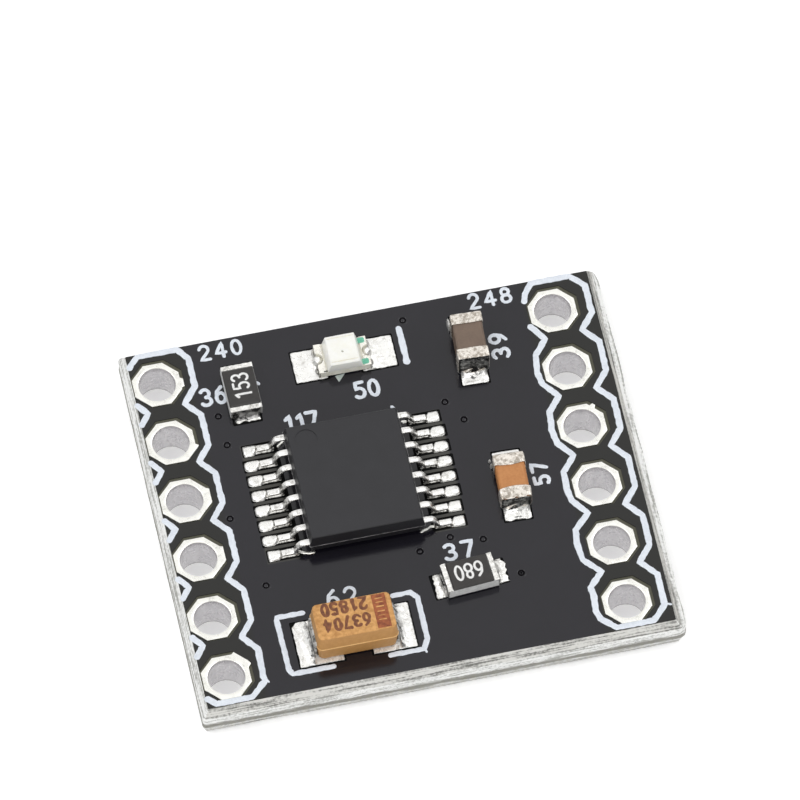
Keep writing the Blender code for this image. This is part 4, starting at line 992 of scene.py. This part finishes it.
def solder_rings(number, row_y, way):
    """Rings of a lead's solder: a low film under the foot, then a pear-shaped mound."""
    square = number in SQUARE_LANDS
    toe = LEAD_TOE
    end = toe + (0.52 if square else 0.6)
    film = 0.155 if way < 0 else 0.138
    point = 0.02 if square else 0.1
    slant = 0.5 + 0.35 * wave(number * 2.9, 0.5)
    # Each station: way out, half its width, height of the rim, half the crown, height.
    stations = (
        (2.585, film - 0.03, 0.015, film - 0.06, 0.03), (2.64, film, 0.02, film - 0.03, 0.05),
        (2.71, film, 0.03, film - 0.03, 0.12), (2.80, film, 0.02, film - 0.03, 0.05),
        (3.20, film, 0.02, film - 0.03, 0.045), (toe + 0.01, 0.155, 0.02, 0.125, 0.045),
        (toe + 0.035, 0.18, 0.045, 0.165, 0.115), (toe + 0.10, 0.208, 0.05, 0.195, 0.138),
        (toe + 0.30, 0.217, 0.05, 0.207, 0.138), (end - 0.04 - point, 0.217, 0.05, 0.205, 0.126),
        (end - 0.015 - point / 3, 0.212 - point * 0.4, 0.048, 0.195 - point * 0.4, 0.108),
        (end, 0.18 - point * 0.7, 0.025, 0.165 - point * 0.8, 0.05))
    rows = []
    for first, second in zip(stations, stations[1:]):
        steps = max(1, round((second[0] - first[0]) / 0.05))
        rows += [[a + (b - a) * step / steps for a, b in zip(first, second)]
                 for step in range(steps)]
    for u, half, rim, crown, height in rows + [stations[-1]]:
        swell = 1 + 0.10 * wave(u * 2.3, number * 4.7, 1)
        half *= swell
        crown = min(crown * swell, half - 0.004)
        dome = [(-crown * math.cos(math.pi * share),
                 rim + (height - rim) * math.sin(math.pi * share) ** 0.6)
                for share in (0, 0.1, 0.3, 0.5, 0.7, 0.9, 1)]
        near = slant * max(0.0, 1 - abs(u - toe - 0.02) / 0.16)
        points = []
        for across, up in [(-half, 0), (-half, rim)] + dome + [(half, rim), (half, 0)]:
            if rim < up:
                up += 0.014 * wave(u * 6, across * 6, number * 1.9)
                up = min(max(up, rim), 0.2)
            points.append((CHIP_PLACE[0] + way * (u + near * across), row_y + way * across,
                           SEAT + up))
        yield points


def make_chip_leads():
    """Each lead's bent strip, and its solder with painted shade on the film under the foot."""
    for number, row_y, way in lead_places():
        for rings, label, finishes, smooth in (
                (strip_rings, "lead", [LEAD_TIN], 50.0),
                (solder_rings, "lead_solder", [SOLDER_TIN, LEAD_PAINTED_SHADE], 70.0)):
            bm = bmesh.new()
            skin_over(bm, rings(number, row_y, way))
            if len(finishes) > 1:
                # painted shade: solder inside the toe takes the dark film finish
                paint(bm, lambda middle, normal:
                      way * (middle.x - CHIP_PLACE[0]) < LEAD_TOE + 0.03)
            add_piece(f"driver_chip_{label}_finish_{number:02d}", bm, "lead_plating", *finishes,
                      smooth=smooth, replaced=[f"driver_chip_lead_{number:02d}"])


def flash_line(name, centre, half, z, corner, finish, slot, reach=0.012, thick=0.014):
    """The thin line left all round a moulded case where the two halves of its mould meet."""
    rings = []
    for out, up in ((-0.03, thick), (reach, thick * 0.5), (reach, -thick * 0.5), (-0.03, -thick)):
        outline = rounded_box(*centre, 2 * (half[0] + out), 2 * (half[1] + out), 0,
                              corner + out if corner > 0.05 else corner, 5)
        rings.append([(x, y, z + up * (1 + 0.4 * wave(x * 4, y * 4))) for x, y in outline])
    bm = bmesh.new()
    skin_over(bm, rings, "joined")
    add_piece(name, bm, slot, finish, smooth=60.0)


def make_heel_traces():
    """Short bare traces in view beside the heels of the corner leads."""
    lines = moved(
        [(-3.86, -1.72), (-3.72, -1.80), (-3.52, -1.86), (-3.34, -1.86)],
        [(0.76, -1.86), (0.98, -1.80), (1.16, -1.72), (1.26, -1.74)],
        [(-3.72, 2.82), (-3.60, 2.90), (-3.52, 2.99)], [(1.06, 2.86), (1.19, 2.84)])
    ink_lines("heel_traces", lines, 0.115, LAND_TIN, "tinned_copper", BOARD_TOP, 0.03, 0.5)


# ---------------------------------------------------------------- soldered pieces

def bitten(bm, name, first, last, depth, seed):
    """A land's outer edge, running from one place to another, eaten to a ragged line."""
    first, last = Vector(first), Vector(last)
    along = (last - first).normalized()
    inward = Vector((-along.y, along.x))
    steps = round((last - first).length / 0.05)
    points = [first - inward * 0.15]
    for step in range(steps + 1):
        bite = 0.4 + 1.2 * wave(step * 0.23, seed) + 0.2 * wave(step * 0.8, seed, 5)
        points.append(first.lerp(last, step / steps)
                      + inward * depth * min(1.0, max(0.02, bite)))
    points.append(last - inward * 0.15)
    cutter = bmesh.new()
    upright_prism(cutter, points, SEAT - 0.2, SEAT + 0.45)
    return cut_by(bm, name, cutter)


def softened(node, word, finishes, slot, voxel, ripple, pace, ragged_low, painted_shade_at, bite=None):
    """A soldered piece with the CAD node's shape, its edges flowed and its skin rippled."""
    name = node.replace("land", word).replace("joint", word)
    bm = from_cad(node)
    if bite:
        bm = bitten(bm, name, *bite)
    bm = reopened(evaluated(
        new_mesh(bm, name + "_coarse"), name, ("REMESH", {"mode": "VOXEL", "voxel_size": voxel}),
        ("SMOOTH", {"factor": 0.5, "iterations": 2})))
    bm.normal_update()
    for vert in bm.verts:
        swell = noise.noise(vert.co * pace) + 0.5 * noise.noise(vert.co * pace * 2.3)
        vert.co += vert.normal * (ripple * (swell - 0.6))
        if vert.co.z < SEAT + 0.17 and abs(vert.normal.z) < 0.9:
            eaten = noise.noise(vert.co * 3.1 + Vector((7, 0, 0))) + 0.6 * noise.noise(vert.co * 8)
            sideways = Vector((vert.normal.x, vert.normal.y, 0))
            vert.co -= sideways * ragged_low * max(0.0, eaten + 0.25)
    bm.normal_update()

    def choose(middle, normal):
        ragged = noise.noise(middle * 6) + 0.5 * noise.noise(middle * 14)
        low = len(finishes) > 2 and middle.z < SEAT + 0.24 + 0.05 * ragged
        # painted shade: faces picked by the rule take the darker second finish
        return 1 if painted_shade_at(middle, normal, ragged) else 2 * low

    paint(bm, choose)
    add_piece(name, bm, slot, *finishes, smooth=60.0, replaced=[node])


def without_painted_shade(middle, normal, ragged):
    return False


def front_painted_shade_and_spot(x, y, across, up):
    """Painted reflection of the dark board on the upright face towards the front, and a small dark
    spot.
    """
    def painted_shade_at(middle, normal, ragged):
        upright = normal.y < -0.8 and middle.z > SEAT + 0.16 + 0.1 * ragged
        hollow = math.hypot((middle.x - x) / across, (middle.y - y) / up) < 1 + 0.8 * ragged
        return upright or hollow
    return painted_shade_at


def trough_painted_shade(middle, normal, ragged):
    """Painted shade and reflection on the solder between a resistor's end and the rim of its land.
    """
    return (4.22 > middle.y > 4.0 + 0.06 * ragged and abs(middle.x + 4.95) < 0.53 + 0.05 * ragged
            and middle.z < SEAT + 0.52 and normal.z < 0.98)


def side_painted_shade(way):
    """Painted shade and reflection on the upright face towards the board's left or right."""
    def painted_shade_at(middle, normal, ragged):
        return way * normal.x > 0.8 and middle.z > SEAT + 0.14 + 0.16 * ragged
    return painted_shade_at


def case_painted_shade(edge, way, reach):
    """Painted shade on the solder close to a moulded case's end."""
    def painted_shade_at(middle, normal, ragged):
        return way * (middle.x - edge) < reach * (1 + 1.2 * ragged) and middle.z > SEAT + 0.06
    return painted_shade_at


def make_soldered_pieces():
    """End caps, wide lands and their joints, flowed and rippled as reflowed solder is."""
    for node, *shade_rule in (
            ("tall_ceramic_joint_back", without_painted_shade),
            ("tall_ceramic_joint_front", front_painted_shade_and_spot(3.70, 3.97, 0.11, 0.05)),
            ("low_ceramic_joint_back", without_painted_shade),
            ("low_ceramic_joint_front", front_painted_shade_and_spot(4.06, -2.17, 0.15, 0.025),
             ((3.46, -2.29), (4.62, -2.34), 0.08, 4.0))):
        softened(node, "end", (END_METAL, END_PAINTED_SHADE, SOLDER_TIN), "end_metal", 0.018, 0.008, 8.0,
                 0.03, *shade_rule)
    for node, *shade_rule in (
            ("back_resistor_joint_back", without_painted_shade),
            ("back_resistor_joint_front", trough_painted_shade, ((-5.60, 3.90), (-4.30, 3.90), 0.08, 1.0)),
            ("front_resistor_joint_left", side_painted_shade(-1),
             ((0.40, -3.70), (0.31, -5.05), 0.08, 3.0)),
            ("front_resistor_joint_right", side_painted_shade(1),
             ((3.29, -4.95), (3.16, -3.62), 0.14, 9.0))):
        softened(node, "end", (RESISTOR_END, RESISTOR_END_PAINTED_SHADE), "end_metal", 0.018, 0.012, 7.0,
                 0.03, *shade_rule)
    for node, *edge in (
            ("tantalum_land_left", -4.59, -1, 0.10), ("tantalum_land_right", -1.33, 1, 0.12),
            ("led_land_left", -1.93, -1, 0.03), ("led_land_right", 0.07, 1, 0.05)):
        softened(node, "solder", (BIG_LAND_TIN, LAND_PAINTED_SHADE), "tinned_copper", 0.025, 0.012, 5.0,
                 0.06, case_painted_shade(*edge))


# ---------------------------------------------------------------- small parts

def crisp(node, name, finish, slot, width, segments):
    """The CAD node's shape with its edges broken by a small rounding."""
    bm = from_cad(node)
    edges = [edge for edge in bm.edges if len(edge.link_faces) == 2
             and edge.calc_face_angle() > math.radians(20.0)]
    bmesh.ops.bevel(bm, geom=edges, offset=width, offset_type="OFFSET", segments=segments,
                    profile=0.5, affect="EDGES", material=-1, clamp_overlap=True)
    add_piece(name, bm, slot, finish, replaced=[node])


def make_part_numbers():
    """Plain numbers on the two resistors and on the tantalum capacitor."""
    glaze = (0.092, RESISTOR_PRINT, "resistor_glaze", 0.008, 0.22)
    epoxy = (0.125, TANTALUM_PRINT, "tantalum_epoxy", 0.004, 0.6)
    for name, node, (width, finish, slot, rise, waver), *wanted in (
            ("back_resistor_number", "back_resistor_glaze", glaze,
             ("153", -4.29, 4.82, 0.6, 90, 0.74, 0.84)),
            ("front_resistor_number", "front_resistor_glaze", glaze,
             ("680", 2.59, -3.82, 0.6, 184, 0.76, 0.84)),
            ("tantalum_marks", "tantalum_case", epoxy,
             ("21850", -2.05, -4.93, 0.46, 180, 0.86, 0.92),
             ("63704", -2.05, -5.61, 0.46, 180, 0.86, 0.92))):
        ink_lines(name, numbers(*wanted), width, finish, slot, box_mm(node)[1][2], rise, waver)


def make_tantalum_band():
    """The dark band across the positive end of the tantalum case's top."""
    (_, front, _), (_, back, top) = box_mm("tantalum_case")
    left, _ = on_board(-1.84, 0)
    right, _ = on_board(-1.32, 0)
    bm = bmesh.new()
    upright_prism(bm, [(left, front + 0.11), (right, front + 0.11), (right, back - 0.11),
                       (left, back - 0.11)], top - 0.004, top + 0.0025)
    add_piece("tantalum_band", bm, "tantalum_epoxy", TANTALUM_BAND)
    marks = moved(*([(-1.71, y), (-1.46, y)] for y in (-5.08, -5.24, -5.42, -5.62, -5.80, -5.97)))
    ink_lines("tantalum_band_marks", marks, 0.06, TANTALUM_YELLOW, "tantalum_epoxy", top,
              0.004, 0.6)


def blob(bm, x, y, z, across, along, high, seed):
    """A small flowed lump of solder."""
    for vert in bmesh.ops.create_icosphere(bm, subdivisions=4, radius=1.0)["verts"]:
        swell = 1 + 0.14 * noise.noise(vert.co * 2.2 + Vector((seed, 0, 0)))
        vert.co = Vector((x + across * vert.co.x * swell, y + along * vert.co.y * swell,
                          z + high * max(vert.co.z, -0.3) * swell))


def make_lamp_details():
    """Solder in the lamp's end notches, green marks on its base and lines on its lens."""
    low, high = box_mm("led_base")
    lens_low, lens_high = box_mm("led_lens")
    top = box_mm("led_terminal_right")[1][2]
    middle = (low[1] + high[1]) / 2
    bm = bmesh.new()
    for x, y, lift, *form in (
            (low[0] + 0.02, middle + 0.05, 0.13, 0.20, 0.21, 0.24, 1),
            (high[0] - 0.02, middle + 0.04, 0.13, 0.20, 0.20, 0.26, 4),
            (3.27, 6.36, 0.12, 0.055, 0.22, 0.34, 2), (3.53, 0.32, 0.1, 0.05, 0.05, 0.14, 5),
            (3.55, 0.10, 0.1, 0.045, 0.07, 0.2, 6)):
        blob(bm, x, y, SEAT + lift, *form)
    add_piece("solder_beads", bm, "lamp_plating", SOLDER_TIN, smooth=70.0)
    bm = bmesh.new()
    for y, length in ((high[1] - 0.16, 0.29), (low[1] + 0.17, 0.28)):
        upright_prism(bm, rounded_box(high[0] - 0.17, y, length, 0.23, 0, 0.07, 4),
                      top - 0.003, top + 0.012)
    add_piece("lamp_green_marks", bm, "lamp_base", LAMP_GREEN, smooth=40.0)
    ink_lines("lamp_die_dot", moved([(-0.61, 5.86), (-0.59, 5.84)]), 0.07, LAMP_DOT,
              "lamp_resin", lens_high[2], 0.004)
    left, right = lens_low[0] + 0.19, lens_high[0] - 0.19
    ink_lines("lamp_lens_line",
              [[(left, y), (right, y)] for y in (lens_low[1] + 0.13, high[1] - 0.11)],
              0.035, LAMP_LINE, "lamp_resin", lens_high[2], 0.006, 0.5)
    ink_lines("lamp_slot", [[(low[0] + 0.16, low[1] + 0.05), (low[0] + 0.25, low[1] + 0.05)]],
              0.06, LAMP_DIE, "lamp_base", top, 0.006)
    # painted shade: dark crescents at the ends of the lamp's base, where its ears meet the land
    for name, x, start, stop in (("left", low[0] - 0.04, 80, 260),
                                 ("right", high[0] + 0.04, -100, 60)):
        lines = [arc(x, middle + side * 0.40, 0.09, 0.16, start, stop) for side in (-1, 1)]
        ink_lines(f"lamp_{name}_hollow", lines, 0.05, LAND_PAINTED_SHADE, "tinned_copper",
                  SEAT + 0.16, 0.012, 0.6)
    bm = bmesh.new()
    upright_prism(bm, moved([(-1.0, 5.32), (-0.6, 5.36), (-0.9, 5.04)])[0], BOARD_TOP,
                  BOARD_TOP + 0.01)
    add_piece("lamp_wedge_mark", bm, "tinned_copper", LAMP_WEDGE)


# ---------------------------------------------------------------- stage

def seen(tree):
    """1 on the ways by which the camera sees a surface, and whether the way is glossy."""
    paths = new_node(tree, "LightPath").outputs
    glossy = paths["Is Glossy Ray"]
    clear = calc(tree, "MAXIMUM", glossy, paths["Is Transmission Ray"])
    return calc(tree, "MAXIMUM", paths["Is Camera Ray"], clear), glossy


def make_floor():
    """A white floor that keeps the module's shadow."""
    bm = bmesh.new()
    bmesh.ops.create_grid(bm, x_segments=1, y_segments=1, size=1.5)
    floor = new_object("floor", new_mesh(bm, "floor"))
    floor.location.z = -0.00002
    finish, tree, shader = new_finish("white_floor", (0.9, 0.9, 0.9), 0.9, specular=0.0)
    feed(tree, shader["Emission Color"], (1.0, 1.0, 1.0))
    feed(tree, shader["Emission Strength"], product(tree, seen(tree)[0], 0.31))
    floor.data.materials.append(finish)


def make_world():
    """White where the camera and gloss see it, a softer fill for everything else."""
    world = bpy.data.worlds.new("studio")
    bpy.context.scene.world = world
    world.use_nodes = True
    tree = world.node_tree
    back = tree.nodes["Background"].inputs
    direct, glossy = seen(tree)
    given = {0: new_node(tree, "TexCoord").outputs["Generated"], 1: (0.1, 0.62, 0.78)}
    upward = new_node(tree, "VectorMath", given, operation="DOT_PRODUCT").outputs["Value"]
    front = ramp(tree, upward, 0.05, 0.6, 0.22, 1.0)
    feed(tree, back["Color"], blend(tree, glossy, (1.0, 1.0, 1.0), front))
    feed(tree, back["Strength"], ramp(tree, direct, 0.0, 1.0, 0.60, 1.0))


def make_lamps():
    """Three soft square lamps turned to the module."""
    for name, place, size, power in (
            ("left_lamp", (-0.5, 0.1, 0.75), 0.5, 1.6), ("right_lamp", (0.5, 0.1, 0.75), 0.5, 1.6),
            ("front_lamp", (-0.1, -0.7, 0.55), 0.6, 2.2)):
        lamp = bpy.data.lights.new(name, "AREA")
        lamp.shape = "SQUARE"
        lamp.size = size
        lamp.energy = power
        item = new_object(name, lamp)
        item.location = place
        item.rotation_euler = (-Vector(place)).to_track_quat("-Z", "Y").to_euler()


def make_camera():
    """A long lens at the photograph's viewing angle."""
    lens = bpy.data.cameras.new("camera")
    lens.sensor_width = 36.0
    lens.lens = 568.9
    camera = new_object("camera", lens)
    camera.location = (-0.049131, -0.221123, 0.417207)
    camera.rotation_euler = [math.radians(turn) for turn in (28.98746, -0.16600, -12.23070)]
    bpy.context.scene.camera = camera


def main():
    make_camera()
    make_world()
    make_floor()
    make_lamps()
    dress_cad_nodes()
    make_board_core()
    make_masks()
    make_plated_holes()
    make_board_print()
    make_vias()
    make_chip_leads()
    make_heel_traces()
    # the chip's flash line carries a painted highlight
    flash_line("driver_chip_flash", CHIP_PLACE, CHIP_HALF, SEAT + 0.62, 0.03, CASE_FLASH_HIGHLIGHT,
               "chip_epoxy")
    make_soldered_pieces()
    make_part_numbers()
    make_tantalum_band()
    crisp("tantalum_case", "tantalum_body", TANTALUM_YELLOW, "tantalum_epoxy", 0.03, 3)
    # the tantalum's parting ridge carries a painted highlight
    flash_line("tantalum_ridge_painted_highlight", (-2.96, -5.76), (1.54, 0.82), SEAT + 0.87, 0.2,
               TANTALUM_RIDGE_HIGHLIGHT, "tantalum_epoxy", 0.016, 0.024)
    crisp("tall_ceramic_body", "tall_ceramic_block", BROWN_CERAMIC, "brown_ceramic", 0.04, 2)
    crisp("low_ceramic_body", "low_ceramic_block", ORANGE_CERAMIC, "orange_ceramic", 0.04, 2)
    make_lamp_details()
    bpy.context.scene.view_settings.view_transform = "Standard"


main()
